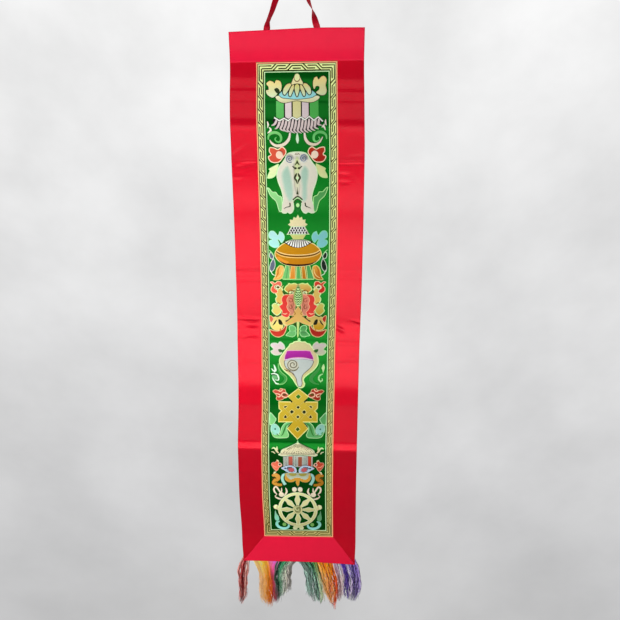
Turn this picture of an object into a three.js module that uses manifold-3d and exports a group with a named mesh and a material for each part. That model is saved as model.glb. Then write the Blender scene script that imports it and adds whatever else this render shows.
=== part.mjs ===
// Tibetan brocade wall hanging: a long woven panel in a red satin surround, hung from a ribbon
// loop, with a many-coloured silk thread fringe under its bottom hem.
//
// Millimetres, +Z up, +X to the right of someone facing the front, +Y back towards the wall.
// The origin is under the top of the ribbon loop, where the nail or hook that holds it bears.
// A place on the cloth is given by two lengths of the flat work: "across", from the centre line
// to the right, and "down", from the top edge.

import * as THREE from "three";
import { mergeVertices } from "three/addons/utils/BufferGeometryUtils.js";
import Module from "manifold-3d";

// Driving dimensions
const BODY_WIDTH = 230;
const BODY_LENGTH = 1043;
const HALF_WIDTH = BODY_WIDTH / 2;
const HANG_DROP = 125; // from the origin down to the middle of the top edge
const CLOTH = 1.5; // satin with its turned hem, and brocade with its loose threads behind
const SEAM = 0.3; // gap left along a sewn seam
const PANEL_HALF_WIDTH = 70;
const PANEL_TOP = 51.5;
const PANEL_BOTTOM = 985.5;
const SKEW = 0.022; // the weft climbs to the right by this much of its length
const CLOTH_STEP = 12; // facet length along the cloth
const RIBBON_WIDTH = 11;
const RIBBON_THICKNESS = 1;
const RIBBON_STEPS = 84;
const FRINGE_DEPTH = 4;
const FRINGE_FRONT = 9.8; // the heading lies just behind the bottom hem
const HEADING_TOP = -1158;
const HEADING_BOTTOM = -1172;
const HEADING_LEFT = -115;
const HEADING_RIGHT = 112;
const LOCK_WIDTH = 8; // width of one ragged lock at a tuft's tip
const LOCK_DEPTH = 5;
const SHOULDER = 0.25; // shares of a tuft's drop at which its sides are shaped
const HIP = 0.6;
const SHORT_COLUMNS = 4; // facets across a side strip, the panel, and a strip along a hem
const PANEL_COLUMNS = 8;
const HEM_COLUMNS = 12;

// The folds that packing left in the cloth, and the hollows between them. "left" and "right" are
// how far down the fold meets the two side edges, "forward" is how far it stands out from the
// nail towards the viewer, and "radius" is half the length of its bend.
const FOLDS = [
  { name: "top edge", left: 0, right: 0, forward: -5, radius: 1 },
  { name: "under the top seam", left: 51, right: 51, forward: -4, radius: 30 },
  { name: "faint rise", left: 104, right: 110, forward: 3, radius: 20 },
  { name: "upper belly", left: 150, right: 154, forward: 17, radius: 18 },
  { name: "upper quarter fold", left: 215, right: 218, forward: 20, radius: 4 },
  { name: "easing", left: 300, right: 303, forward: 10, radius: 12 },
  { name: "flat of the middle", left: 405, right: 410, forward: 1, radius: 30 },
  { name: "middle fold", left: 519, right: 531, forward: -13, radius: 6 },
  { name: "rests on the wall", left: 640, right: 648, forward: -16, radius: 25 },
  { name: "soft fold", left: 695, right: 697, forward: -11, radius: 9 },
  { name: "lower quarter fold", left: 775, right: 779, forward: 8, radius: 3 },
  { name: "lower hollow", left: 911, right: 911, forward: -4, radius: 8 },
  { name: "above the bottom seam", left: 960, right: 966, forward: -12, radius: 18 },
  { name: "bottom edge", left: 1043, right: 1043, forward: -8, radius: 1 },
];

// Cut width of the body down its length, and how far its centre line strays from the plumb line.
const WIDTHS = [
  { at: 0, value: 229, radius: 1 },
  { at: 55, value: 227, radius: 20 },
  { at: 110, value: 229.5, radius: 20 },
  { at: 170, value: 230, radius: 20 },
  { at: 700, value: 229.6, radius: 20 },
  { at: 800, value: 230.5, radius: 20 },
  { at: 885, value: 231.4, radius: 20 },
  { at: 960, value: 230, radius: 20 },
  { at: 1005, value: 230.4, radius: 12 },
  { at: 1032, value: 228, radius: 8 },
  { at: 1043, value: 229, radius: 1 },
];
const SWAYS = [
  { at: 0, value: -0.5, radius: 1 },
  { at: 110, value: 0.5, radius: 30 },
  { at: 200, value: 2.8, radius: 30 },
  { at: 340, value: 2.8, radius: 30 },
  { at: 460, value: 1.8, radius: 30 },
  { at: 580, value: -0.4, radius: 30 },
  { at: 700, value: -1.2, radius: 30 },
  { at: 880, value: -2.6, radius: 30 },
  { at: 960, value: -1.4, radius: 30 },
  { at: 1043, value: -1, radius: 1 },
];

// How far the top and bottom hems rise above a level line, across the work.
const TOP_HEM = [
  { at: -115, value: -4, radius: 1 },
  { at: 34, value: 3.7, radius: 20 },
  { at: 115, value: 4.1, radius: 1 },
];
const BOTTOM_HEM = [
  { at: -115, value: -1, radius: 1 },
  { at: 20, value: 1.2, radius: 30 },
  { at: 115, value: -2, radius: 1 },
];

// The ribbon from its left sewn end, over the nail, to its right sewn end. "turn" is the angle in
// degrees of its width out of the hanging's plane: 0 or 180 is flat to the viewer, 90 is edge on.
const RIBBON = [
  { across: -52, up: -137, back: 6.7, turn: -180 },
  { across: -50.3, up: -123.5, back: 6.8, turn: -180 },
  { across: -49.3, up: -118, back: 6.5, turn: -145 },
  { across: -47.5, up: -113, back: 6, turn: -95 },
  { across: -44, up: -105, back: 5.4, turn: -66 },
  { across: -39.5, up: -96, back: 4.6, turn: -45 },
  { across: -33.5, up: -79, back: 3.6, turn: -30 },
  { across: -20, up: -45, back: 1.9, turn: 0 },
  { across: -7, up: -14, back: 0.5, turn: 60 },
  { across: -3, up: -3.2, back: 0, turn: 85 },
  { across: 0, up: 0.5, back: 0, turn: 90 },
  { across: 3, up: -3.2, back: 0, turn: 92 },
  { across: 6, up: -14, back: 0.5, turn: 100 },
  { across: 13, up: -48, back: 2, turn: 112 },
  { across: 20, up: -79, back: 3.6, turn: 115 },
  { across: 26.5, up: -93, back: 4.4, turn: 90 },
  { across: 30.5, up: -107, back: 5.4, turn: 46 },
  { across: 33, up: -116, back: 6.4, turn: 12 },
  { across: 34, up: -120, back: 6.8, turn: 0 },
  { across: 35, up: -134, back: 6.7, turn: 0 },
];

// The fringe's tufts: where each leaves the heading, where it passes below it, where it ends,
// and how far below the heading's top its longest threads reach.
const TUFTS = [
  { name: "red", root: [-115, -103], waist: [-131, -108], tip: [-131, -126], drop: 121 },
  { name: "yellow", root: [-93, -69], waist: [-82, -67], tip: [-84, -64], drop: 122 },
  { name: "pink", root: [-71, -41], waist: [-69, -46], tip: [-67, -46], drop: 112 },
  { name: "green", root: [-43, -4], waist: [-50, -18], tip: [-50, -24], drop: 98 },
  { name: "teal", root: [-2, 26], waist: [13, 37], tip: [22, 46], drop: 105 },
  { name: "orange", root: [24, 66], waist: [36, 74], tip: [46, 72], drop: 108 },
  { name: "lilac", root: [64, 83], waist: [73, 92], tip: [71, 88], drop: 96 },
  { name: "purple", root: [81, 112], waist: [91, 121], tip: [91, 118], drop: 98 },
];

// A straight line that bends upward at zero, with the corner rounded over the radius each way.
function softCorner(distance, radius) {
  if (distance <= -radius) return 0;
  if (distance >= radius) return distance;
  return (distance + radius) ** 2 / (4 * radius);
}

// The height at x of the run of straight lines through the rows, with rounded corners.
function softPolyline(rows, x) {
  const slopeAfter = (i) => (rows[i + 1].value - rows[i].value) / (rows[i + 1].at - rows[i].at);
  let height = rows[0].value + slopeAfter(0) * (x - rows[0].at);
  for (let i = 1; i < rows.length - 1; i += 1) {
    const change = slopeAfter(i) - slopeAfter(i - 1);
    height += change * softCorner(x - rows[i].at, rows[i].radius);
  }
  return height;
}

// How far the cloth stands forward. A fold slants, so its place down the cloth varies across it.
function forwardAt(across, down) {
  const share = (across + HALF_WIDTH) / BODY_WIDTH;
  const rows = FOLDS.map((fold) => ({
    at: THREE.MathUtils.lerp(fold.left, fold.right, share),
    value: fold.forward,
    radius: fold.radius,
  }));
  return softPolyline(rows, down);
}

// How far the cloth is lifted by its skew and, above and below the panel, by its uneven hems.
function riseAt(across, down) {
  const skewed = SKEW * across;
  if (down < PANEL_TOP) {
    return THREE.MathUtils.lerp(softPolyline(TOP_HEM, across), skewed, down / PANEL_TOP);
  }
  if (down > PANEL_BOTTOM) {
    const share = (down - PANEL_BOTTOM) / (BODY_LENGTH - PANEL_BOTTOM);
    return THREE.MathUtils.lerp(skewed, softPolyline(BOTTOM_HEM, across), share);
  }
  return skewed;
}

// The place in space of a point on the middle surface of the cloth.
function onCloth(across, down) {
  const x = (across * softPolyline(WIDTHS, down)) / BODY_WIDTH + softPolyline(SWAYS, down);
  return new THREE.Vector3(x, -forwardAt(across, down), riseAt(across, down) - HANG_DROP - down);
}

// Moves every corner of a box geometry to where place(x, y, z) puts it.
function bendBox(geometry, place) {
  const position = geometry.getAttribute("position");
  for (let i = 0; i < position.count; i += 1) {
    const moved = place(position.getX(i), position.getY(i), position.getZ(i));
    position.setXYZ(i, moved.x, moved.y, moved.z);
  }
  geometry.computeVertexNormals();
  return geometry;
}

// A cut piece with straight sides, laid on the cloth's surface. "top" and "bottom" each give the
// piece's edge there: how far down it is, and how far across its two ends are.
function clothPiece(top, bottom, columns) {
  const rows = Math.max(4, Math.round((bottom.down - top.down) / CLOTH_STEP));
  const grid = new THREE.BoxGeometry(1, 1, 1, columns, 1, rows);
  return bendBox(grid, (x, y, z) => {
    const downShare = 0.5 - z;
    const left = THREE.MathUtils.lerp(top.left, bottom.left, downShare);
    const right = THREE.MathUtils.lerp(top.right, bottom.right, downShare);
    const down = THREE.MathUtils.lerp(top.down, bottom.down, downShare);
    const point = onCloth(THREE.MathUtils.lerp(left, right, x + 0.5), down);
    point.y += y * CLOTH;
    return point;
  });
}

// The satin strip across the top runs the full width of the hanging.
function topStrip() {
  const top = { down: 0, left: -HALF_WIDTH, right: HALF_WIDTH };
  const bottom = { down: PANEL_TOP - SEAM, left: -HALF_WIDTH, right: HALF_WIDTH };
  return clothPiece(top, bottom, HEM_COLUMNS);
}

// A side strip: square under the top strip, its inner edge along the panel, and mitred at its foot
// from the panel's lower corner out to the body's lower corner. Its rows of facets fan out with
// the mitre.
function sideStrip(side) {
  const inner = side * (PANEL_HALF_WIDTH + SEAM);
  const outer = side * HALF_WIDTH;
  const length = BODY_LENGTH - PANEL_TOP;
  const rows = Math.round(length / CLOTH_STEP);
  const grid = new THREE.BoxGeometry(1, 1, 1, SHORT_COLUMNS, 1, rows);
  return bendBox(grid, (x, y, z) => {
    const outwards = side > 0 ? x + 0.5 : 0.5 - x;
    const across = THREE.MathUtils.lerp(inner, outer, outwards);
    const foot = THREE.MathUtils.lerp(PANEL_BOTTOM, BODY_LENGTH, outwards);
    const point = onCloth(across, THREE.MathUtils.lerp(PANEL_TOP, foot, 0.5 - z));
    point.y += y * CLOTH;
    return point;
  });
}

// The bottom strip is a trapezium whose slanting ends meet the side strips in mitred seams.
function bottomStrip() {
  const sideways = HALF_WIDTH - PANEL_HALF_WIDTH;
  const drop = BODY_LENGTH - PANEL_BOTTOM;
  const mitreGap = (SEAM * Math.hypot(sideways, drop)) / drop;
  const topHalf = PANEL_HALF_WIDTH + (sideways * SEAM) / drop - mitreGap;
  const bottomHalf = HALF_WIDTH - mitreGap;
  const top = { down: PANEL_BOTTOM + SEAM, left: -topHalf, right: topHalf };
  const bottom = { down: BODY_LENGTH, left: -bottomHalf, right: bottomHalf };
  return clothPiece(top, bottom, HEM_COLUMNS);
}

// The woven brocade, set edge to edge inside the satin.
function brocadePanel() {
  const half = PANEL_HALF_WIDTH;
  const top = { down: PANEL_TOP, left: -half, right: half };
  const bottom = { down: PANEL_BOTTOM, left: -half, right: half };
  return clothPiece(top, bottom, PANEL_COLUMNS);
}

// One length of satin ribbon, sewn behind the top hem at both ends and twisting on its way.
function hangingLoop() {
  const path = new THREE.CatmullRomCurve3(
    RIBBON.map((row) => new THREE.Vector3(row.across, row.back, row.up)),
    false,
    "centripetal",
  );
  const across = new THREE.Vector3();
  const through = new THREE.Vector3();
  const back = new THREE.Vector3(0, 1, 0);
  const grid = new THREE.BoxGeometry(1, 1, 1, RIBBON_STEPS, 1, 1);
  return bendBox(grid, (x, y, z) => {
    const along = THREE.MathUtils.clamp(x + 0.5, 0, 1);
    const row = Math.min(Math.floor(along * (RIBBON.length - 1)), RIBBON.length - 2);
    const share = along * (RIBBON.length - 1) - row;
    const degrees = THREE.MathUtils.lerp(RIBBON[row].turn, RIBBON[row + 1].turn, share);
    const turn = THREE.MathUtils.degToRad(degrees);
    const tangent = path.getTangent(along);
    across.set(-tangent.z, 0, tangent.x).normalize();
    across.multiplyScalar(Math.cos(turn)).addScaledVector(back, Math.sin(turn));
    through.crossVectors(across, tangent).normalize();
    const point = path.getPoint(along);
    point.addScaledVector(across, z * RIBBON_WIDTH);
    return point.addScaledVector(through, y * RIBBON_THICKNESS);
  });
}

// An outline in the hanging's plane, given thickness behind the bottom hem.
function fringePlate(outline) {
  const plate = new THREE.ExtrudeGeometry(outline, {
    depth: FRINGE_DEPTH,
    bevelEnabled: false,
    curveSegments: 10,
  });
  plate.rotateX(Math.PI / 2);
  plate.translate(0, FRINGE_FRONT + FRINGE_DEPTH, 0);
  return plate;
}

// The threads' sewn heading, a narrow band along the whole hem.
function headingOutline() {
  const outline = new THREE.Shape();
  outline.moveTo(HEADING_LEFT, HEADING_TOP);
  outline.lineTo(HEADING_LEFT, HEADING_BOTTOM);
  outline.lineTo(HEADING_RIGHT, HEADING_BOTTOM);
  outline.lineTo(HEADING_RIGHT, HEADING_TOP);
  outline.closePath();
  return outline;
}

// One tuft: curved sides from heading to tip, and a ragged lower edge of short locks.
function tuftOutline(tuft) {
  const top = HEADING_TOP - 1;
  const shoulder = top - tuft.drop * SHOULDER;
  const hip = top - tuft.drop * HIP;
  const end = top - tuft.drop + LOCK_DEPTH;
  const locks = Math.max(1, Math.round((tuft.tip[1] - tuft.tip[0]) / LOCK_WIDTH));
  const outline = new THREE.Shape();
  outline.moveTo(tuft.root[0], top);
  outline.bezierCurveTo(tuft.waist[0], shoulder, tuft.waist[0], hip, tuft.tip[0], end);
  for (let i = 0; i < locks; i += 1) {
    const start = THREE.MathUtils.lerp(tuft.tip[0], tuft.tip[1], i / locks);
    const finish = THREE.MathUtils.lerp(tuft.tip[0], tuft.tip[1], (i + 1) / locks);
    outline.lineTo((start + finish) / 2, end - LOCK_DEPTH);
    outline.lineTo(finish, end);
  }
  outline.bezierCurveTo(tuft.waist[1], hip, tuft.waist[1], shoulder, tuft.root[1], top);
  outline.closePath();
  return outline;
}

const wasm = await Module();
wasm.setup();

// A three.js geometry as a manifold solid, with its doubled corners merged.
function toSolid(geometry) {
  const bare = geometry.clone();
  bare.deleteAttribute("normal");
  bare.deleteAttribute("uv");
  const merged = mergeVertices(bare);
  const mesh = new wasm.Mesh({
    numProp: 3,
    vertProperties: merged.getAttribute("position").array,
    triVerts: new Uint32Array(merged.getIndex().array),
  });
  return new wasm.Manifold(mesh);
}

function toGeometry(solid) {
  const mesh = solid.getMesh();
  const geometry = new THREE.BufferGeometry();
  geometry.setAttribute("position", new THREE.BufferAttribute(mesh.vertProperties, 3));
  geometry.setIndex(new THREE.BufferAttribute(mesh.triVerts, 1));
  geometry.computeVertexNormals();
  return geometry;
}

// The fringe is one comb: its heading with the tufts hanging from it.
function fringeComb() {
  let comb = toSolid(fringePlate(headingOutline()));
  for (const tuft of TUFTS) {
    comb = comb.add(toSolid(fringePlate(tuftOutline(tuft))));
  }
  return toGeometry(comb);
}

const satin = new THREE.MeshStandardMaterial({ color: 0xde1f3f, roughness: 0.42, metalness: 0.1 });
const brocade = new THREE.MeshStandardMaterial({ color: 0x2c7a34, roughness: 0.6, metalness: 0 });
const ribbon = new THREE.MeshStandardMaterial({ color: 0xa80f22, roughness: 0.45, metalness: 0 });
const threads = new THREE.MeshStandardMaterial({ color: 0xc98a4a, roughness: 0.7, metalness: 0 });

const hanging = new THREE.Group();

function addPiece(name, geometry, material) {
  const piece = new THREE.Mesh(geometry, material);
  piece.name = name;
  hanging.add(piece);
}

addPiece("top_strip", topStrip(), satin);
addPiece("left_strip", sideStrip(-1), satin);
addPiece("right_strip", sideStrip(1), satin);
addPiece("bottom_strip", bottomStrip(), satin);
addPiece("brocade_panel", brocadePanel(), brocade);
addPiece("hanging_loop", hangingLoop(), ribbon);
addPiece("fringe", fringeComb(), threads);

export default hanging;
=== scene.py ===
"""Tibetan brocade wall hanging: the eight auspicious symbols woven on green satin, in a red satin
surround, with a ribbon loop and a silk thread fringe. Lengths in the tables are millimetres of the
flat work, "across" to the right of its centre line and "down" from its top edge."""

import math
import random

import bpy
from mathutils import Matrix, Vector
from mathutils.geometry import delaunay_2d_cdt


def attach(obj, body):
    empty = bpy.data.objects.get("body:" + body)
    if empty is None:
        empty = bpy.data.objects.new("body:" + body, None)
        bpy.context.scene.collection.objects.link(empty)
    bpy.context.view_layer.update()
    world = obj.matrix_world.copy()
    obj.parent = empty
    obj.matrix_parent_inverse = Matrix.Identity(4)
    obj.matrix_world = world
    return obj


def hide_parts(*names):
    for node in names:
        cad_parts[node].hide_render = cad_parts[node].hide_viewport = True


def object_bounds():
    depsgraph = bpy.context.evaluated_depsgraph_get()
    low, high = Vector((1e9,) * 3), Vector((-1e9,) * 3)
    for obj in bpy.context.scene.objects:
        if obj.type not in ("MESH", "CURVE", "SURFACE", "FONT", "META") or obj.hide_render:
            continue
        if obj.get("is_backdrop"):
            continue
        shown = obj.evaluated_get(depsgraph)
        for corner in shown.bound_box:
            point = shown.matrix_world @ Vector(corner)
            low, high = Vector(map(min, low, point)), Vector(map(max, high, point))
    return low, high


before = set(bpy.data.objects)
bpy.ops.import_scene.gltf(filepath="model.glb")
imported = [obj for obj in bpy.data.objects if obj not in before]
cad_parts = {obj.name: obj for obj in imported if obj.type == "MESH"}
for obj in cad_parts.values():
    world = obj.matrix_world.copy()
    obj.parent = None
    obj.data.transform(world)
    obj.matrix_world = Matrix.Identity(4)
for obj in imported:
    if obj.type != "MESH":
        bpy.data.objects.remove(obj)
cad_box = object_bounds()
bpy.ops.object.select_all(action="DESELECT")

# --- The brocade ground ---
# One length of green silk satin, the ground on which the whole design is woven. Its warp floats run
# down the work, so it shines in bands where packing folds tilt it. It hangs inside the satin strips.

MM = 0.001
BODY_WIDTH = 230
BODY_LENGTH = 1043
HALF_WIDTH = BODY_WIDTH / 2
HANG_DROP = 125
PANEL_HALF = 70
PANEL_TOP = 51.5
PANEL_BOTTOM = 985.5
SKEW = 0.022
ROW = 2  # spacing of the cloth's rows of faces

# Down the work at the left and right edges, how far the cloth stands forward, and bend radius.
FOLDS = [
    (0, 0, -5, 1),
    (51, 51, -4, 30),
    (82, 88, 1.2, 8),
    (104, 110, 7, 20),
    (150, 154, 18.4, 14),
    (215, 218, 21, 2.5),
    (300, 303, 10.5, 12),
    (405, 410, 0.5, 30),
    (519, 531, -12, 6),
    (640, 648, -15, 25),
    (695, 697, -9.5, 9),
    (759, 763, 6, 5),
    (775, 779, 7.4, 3),
    (911, 911, -5, 8),
    (974, 980, -14, 10),
    (1043, 1043, -15.5, 1),
]

# Soft ridges and troughs that lie across the work: left, right, height and half-length.
CREASES = [
    (98, 104, 0.3, 3),
    (112, 116, -0.25, 4),
    (411, 406, 0.25, 5),
    (424, 421, -0.25, 5),
    (438, 433, 0.2, 4),
    (559, 566, 0.3, 5),
    (612, 607, -0.3, 6),
    (745, 739, 0.25, 5),
    (826, 833, 0.3, 6),
    (868, 860, -0.3, 6),
]

# Short creases left by handling: across, down, half-length, reach, slant and height.
DENTS = [
    (-104, 200, 12, 4, -0.7, 0.5),
    (-85, 215, 13, 2, 0, 0.4),
    (-83, 219, 12, 2, 0, -0.3),
    (-93, 224, 13, 2, -0.05, -0.2),
    (-107, 243.5, 9, 2, 0.05, 0.2),
    (101, 209, 13, 2.5, -0.1, 0.4),
    (92, 216, 21, 2.2, 0, -0.4),
    (92, 219, 20, 1.8, 0, 0.4),
    (92, 222, 18, 1.8, 0, -0.3),
    (80, 241, 7, 2.5, 0.05, -0.3),
    (80, 255, 7, 2.2, 0, -0.25),
    (-93, 516, 22, 1.8, 0.05, 0.7),
    (-86, 528, 12, 4, 0.1, -0.5),
    (-86, 555, 11, 2.2, 0.1, 0.3),
    (-100, 593, 14, 3, 0.4, 0.4),
    (107, 521, 8, 2, 0.3, 0.5),
    (78, 537, 7, 4, 0.5, -0.8),
    (105, 589.5, 10, 2, 0, 0.3),
]

# Place down or across, value there, and radius of the rounded corner.
WIDTHS = [
    (0, 229, 1),
    (55, 227, 20),
    (110, 229.5, 20),
    (170, 230, 20),
    (700, 229.6, 20),
    (800, 230.5, 20),
    (885, 231.4, 20),
    (960, 230, 20),
    (1005, 230.4, 12),
    (1032, 228, 8),
    (1043, 229, 1),
]
SWAYS = [
    (0, -0.5, 1),
    (110, 0.5, 30),
    (200, 2.8, 30),
    (340, 2.8, 30),
    (460, 1.8, 30),
    (580, -0.4, 30),
    (700, -1.2, 30),
    (880, -2.6, 30),
    (960, -1.4, 30),
    (1043, -1, 1),
]
TOP_HEM = [(-115, -4, 1), (34, 3.7, 20), (115, 4.1, 1)]
BOTTOM_HEM = [(-115, -4, 1), (20, -1.6, 30), (115, -4.6, 1)]


def mix(start, end, share):
    """The number that lies that share of the way from start to end."""
    return start + (end - start) * share


def soft_corner(distance, radius):
    """A straight line that bends upward at zero, rounded over the radius each way."""
    if distance <= -radius:
        return 0
    if distance >= radius:
        return distance
    return (distance + radius) ** 2 / (4 * radius)


def soft_line(rows, x):
    """The height at x of straight lines through the rows' (place, value, radius)."""
    slopes = [(b[1] - a[1]) / (b[0] - a[0]) for a, b in zip(rows, rows[1:])]
    height = rows[0][1] + slopes[0] * (x - rows[0][0])
    for before, after, row in zip(slopes, slopes[1:], rows[1:]):
        height += (after - before) * soft_corner(x - row[0], row[2])
    return height


def forward_at(across, down):
    """How far the cloth stands out towards the front, folds, creases and dents together."""
    share = (across + HALF_WIDTH) / BODY_WIDTH
    rows = [(mix(left, right, share), value, radius) for left, right, value, radius in FOLDS]
    height = soft_line(rows, down)
    for left, right, ridge, reach in CREASES:
        distance = (down - mix(left, right, share)) / reach
        if abs(distance) < 3:
            height += ridge * math.exp(-distance * distance)
    for place, level, half_length, reach, slant, ridge in DENTS:
        along = (across - place) / half_length
        distance = (down - level - slant * (across - place)) / reach
        if abs(along) < 1.5 and abs(distance) < 3:
            height += ridge * math.exp(-(along ** 4) - distance * distance)
    return height


def rise_at(across, down):
    """How far the cloth is lifted by its skew and by its uneven hems."""
    skewed = SKEW * across
    if down < PANEL_TOP:
        return mix(soft_line(TOP_HEM, across), skewed, down / PANEL_TOP)
    if down > PANEL_BOTTOM:
        share = (down - PANEL_BOTTOM) / (BODY_LENGTH - PANEL_BOTTOM)
        return mix(skewed, soft_line(BOTTOM_HEM, across), share)
    return skewed


def on_cloth(across, down, proud=0):
    """The place in metres of a point of the cloth, standing proud of its middle surface."""
    x = across * soft_line(WIDTHS, down) / BODY_WIDTH + soft_line(SWAYS, down)
    y = -forward_at(across, down) - proud
    z = rise_at(across, down) - HANG_DROP - down
    return Vector((x, y, z)) * MM


def flat_map(piece, flat):
    """Gives a mesh the UV map "flat": each vertex's (across, down) in metres."""
    layer = piece.data.uv_layers.get("flat") or piece.data.uv_layers.new(name="flat")
    for loop in piece.data.loops:
        across, down = flat[loop.vertex_index]
        layer.data[loop.index].uv = (across * MM, -down * MM)


EDGE_ROUNDING = 0.35  # of the thickness


def thicken(piece, thickness, offset=-1):
    """Gives the active sheet its thickness, rounds its edges and smooths it."""
    wall = piece.modifiers.new("wall", "SOLIDIFY")
    wall.thickness = thickness * MM
    wall.offset = offset
    bpy.ops.object.modifier_apply(modifier=wall.name)
    rounding = piece.modifiers.new("rounding", "BEVEL")
    rounding.width = thickness * MM * EDGE_ROUNDING
    rounding.segments = 2
    rounding.limit_method = "ANGLE"
    rounding.angle_limit = math.radians(60)
    bpy.ops.object.modifier_apply(modifier=rounding.name)
    bpy.ops.object.shade_smooth_by_angle(angle=math.radians(50))
    piece.select_set(False)


def cloth_piece(name, columns, rows, place, thickness, front=0):
    """A sheet on the hanging's surface. place(u, v) gives (across, down) for shares u, v of the
    piece's width and length. Its front stands "front" proud; its hem edges are rounded."""
    bpy.ops.mesh.primitive_grid_add(x_subdivisions=columns, y_subdivisions=rows, size=1)
    piece = bpy.context.object
    piece.name = name
    while piece.data.uv_layers:
        piece.data.uv_layers.remove(piece.data.uv_layers[0])
    flat = [place(v.co.x + 0.5, 0.5 - v.co.y) for v in piece.data.vertices]
    flat_map(piece, flat)
    for vertex, (across, down) in zip(piece.data.vertices, flat):
        vertex.co = on_cloth(across, down, front)
    thicken(piece, thickness)
    return piece


def point_piece(name, places, faces, flat):
    """A piece from its points' places, its faces and its flat map. It is left selected and active."""
    mesh = bpy.data.meshes.new(name)
    mesh.from_pydata(places, [], faces)
    piece = bpy.data.objects.new(name, mesh)
    bpy.context.collection.objects.link(piece)
    flat_map(piece, flat)
    piece.select_set(True)
    bpy.context.view_layer.objects.active = piece
    return piece


def dye_points(piece, colours):
    """Gives a piece the colour attribute "dye", a colour for each point."""
    layer = piece.data.color_attributes.new("dye_with_painted_light", "FLOAT_COLOR", "POINT")
    for datum, colour in zip(layer.data, colours):
        datum.color = colour


class Wire:
    """A shader socket that ordinary signs can work on: each sign adds one Math node."""

    def __init__(self, tree, socket=None):
        self.tree = tree
        self.socket = socket

    def node(self, kind, settings=None, inputs=None, output=0):
        """Adds a node: its settings first, then its sockets' values or links."""
        made = self.tree.nodes.new(kind)
        for name, value in (settings or {}).items():
            if name == "stops":
                for element, (place, colour) in zip(made.color_ramp.elements, value):
                    element.position = place
                    element.color = colour
            else:
                setattr(made, name, value)
        for name, value in (inputs or {}).items():
            if isinstance(value, Wire):
                self.tree.links.new(value.socket, made.inputs[name])
            else:
                made.inputs[name].default_value = value
        return Wire(self.tree, made.outputs[output] if made.outputs else None)

    def maths(self, operation, first, second=0.0):
        return self.node("ShaderNodeMath", {"operation": operation}, {0: first, 1: second})

    def __add__(self, other):
        return self.maths("ADD", self, other)

    def __sub__(self, other):
        return self.maths("SUBTRACT", self, other)

    def __rsub__(self, other):
        return self.maths("SUBTRACT", other, self)

    def __mul__(self, other):
        return self.maths("MULTIPLY", self, other)

    __radd__ = __add__
    __rmul__ = __mul__


def linear(colour):
    """A colour written as 0 to 255 for the eye, as the shader's linear red, green, blue and alpha."""
    shares = [part / 255 for part in colour]
    return [s / 12.92 if s <= 0.04045 else ((s + 0.055) / 1.055) ** 2.4 for s in shares] + [1]


def new_finish(name):
    """A material with an empty node tree, as a wire to hang nodes on."""
    material = bpy.data.materials.new(name)
    material.use_nodes = True
    material.node_tree.nodes.clear()
    return material, Wire(material.node_tree)


def flat_noise(wire, across, down, detail=2.0):
    """Noise from 0 to 1 on the flat work, with that many lumps to the metre each way."""
    flat = wire.node("ShaderNodeUVMap", {"uv_map": "flat"})
    scaled = wire.node(
        "ShaderNodeVectorMath", {"operation": "MULTIPLY"}, {0: flat, 1: (across, down, 1)}
    )
    return wire.node("ShaderNodeTexNoise", None, {"Vector": scaled, "Scale": 1.0, "Detail": detail})


def shaded(wire, colour, share):
    """The colour, which may be a wire, times a brightness that varies over the surface."""
    grey = wire.node("ShaderNodeCombineColor", None, {0: share, 1: share, 2: share})
    return wire.node(
        "ShaderNodeMix",
        {"data_type": "RGBA", "blend_type": "MULTIPLY"},
        {0: 1.0, 6: colour, 7: grey},
        output=2,
    )


THREADS = 2600  # lumps to the metre across the threads
THREAD_LENGTHS = 40  # and along them
THREAD_RELIEF = 0.0002  # metres


def silk_surface(material, wire, relief, height, looks):
    """Finishes a silk whose highlights are stretched along the flat work: the strength and the
    height of its threads' relief, and its other looks by the names of their sockets."""
    tangent = wire.node("ShaderNodeTangent", {"direction_type": "UV_MAP", "uv_map": "flat"})
    bump = wire.node(
        "ShaderNodeBump", None, {"Strength": relief, "Distance": THREAD_RELIEF, "Height": height}
    )
    looks = {**looks, "Tangent": tangent, "Normal": bump}
    surface = wire.node("ShaderNodeBsdfPrincipled", None, looks)
    wire.node("ShaderNodeOutputMaterial", None, {"Surface": surface})
    return material


PAINTED_SHADE_RIGHTWARD = 0.6  # painted shade: how much darker the satins' colour is made a metre to the right, as if lit from the left


def satin(name, colour, floats, metallic, roughness, coat, streaks=0.05, sheen_tilt=0.8):
    """Woven satin. Its long floats lie "down" or "across" the work and stretch its highlights
    sideways to them; fine streaks follow single threads. A thin coat whitens its bright folds."""
    material, wire = new_finish(name)
    along, over = (THREAD_LENGTHS, THREADS) if floats == "down" else (THREADS, THREAD_LENGTHS)
    threads = flat_noise(wire, over, along)
    slubs = flat_noise(wire, 60, 60, 3.0)
    handled = flat_noise(wire, 9, 5, 2.0)
    flat = wire.node("ShaderNodeUVMap", {"uv_map": "flat"})
    across = wire.node("ShaderNodeSeparateXYZ", None, {0: flat}, output="X")
    brightness = threads * (2 * streaks) + slubs * 0.1 + handled * 0.16 + (0.87 - streaks)
    # Painted shade: the colour is darkened towards the right of the work.
    brightness = brightness - across * PAINTED_SHADE_RIGHTWARD
    return silk_surface(material, wire, 0.25, threads, {
        "Base Color": shaded(wire, linear(colour), brightness),
        "Metallic": metallic,
        "Roughness": threads * 0.08 + (roughness - 0.04),
        "Specular IOR Level": 0.06,
        "Coat Weight": coat,
        "Coat Roughness": 0.12,
        "Anisotropic": sheen_tilt,
        "Anisotropic Rotation": 0.0 if floats == "down" else 0.25,
    })


def panel_place(across_share, down_share):
    """A place on the brocade panel from its shares of width and length."""
    return mix(-PANEL_HALF, PANEL_HALF, across_share), mix(PANEL_TOP, PANEL_BOTTOM, down_share)


GROUND_FRONT = 0.3  # how far the ground's face stands proud of the cloth's middle
GROUND_THICKNESS = 0.9
PANEL_ROWS = round((PANEL_BOTTOM - PANEL_TOP) / ROW)

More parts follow.
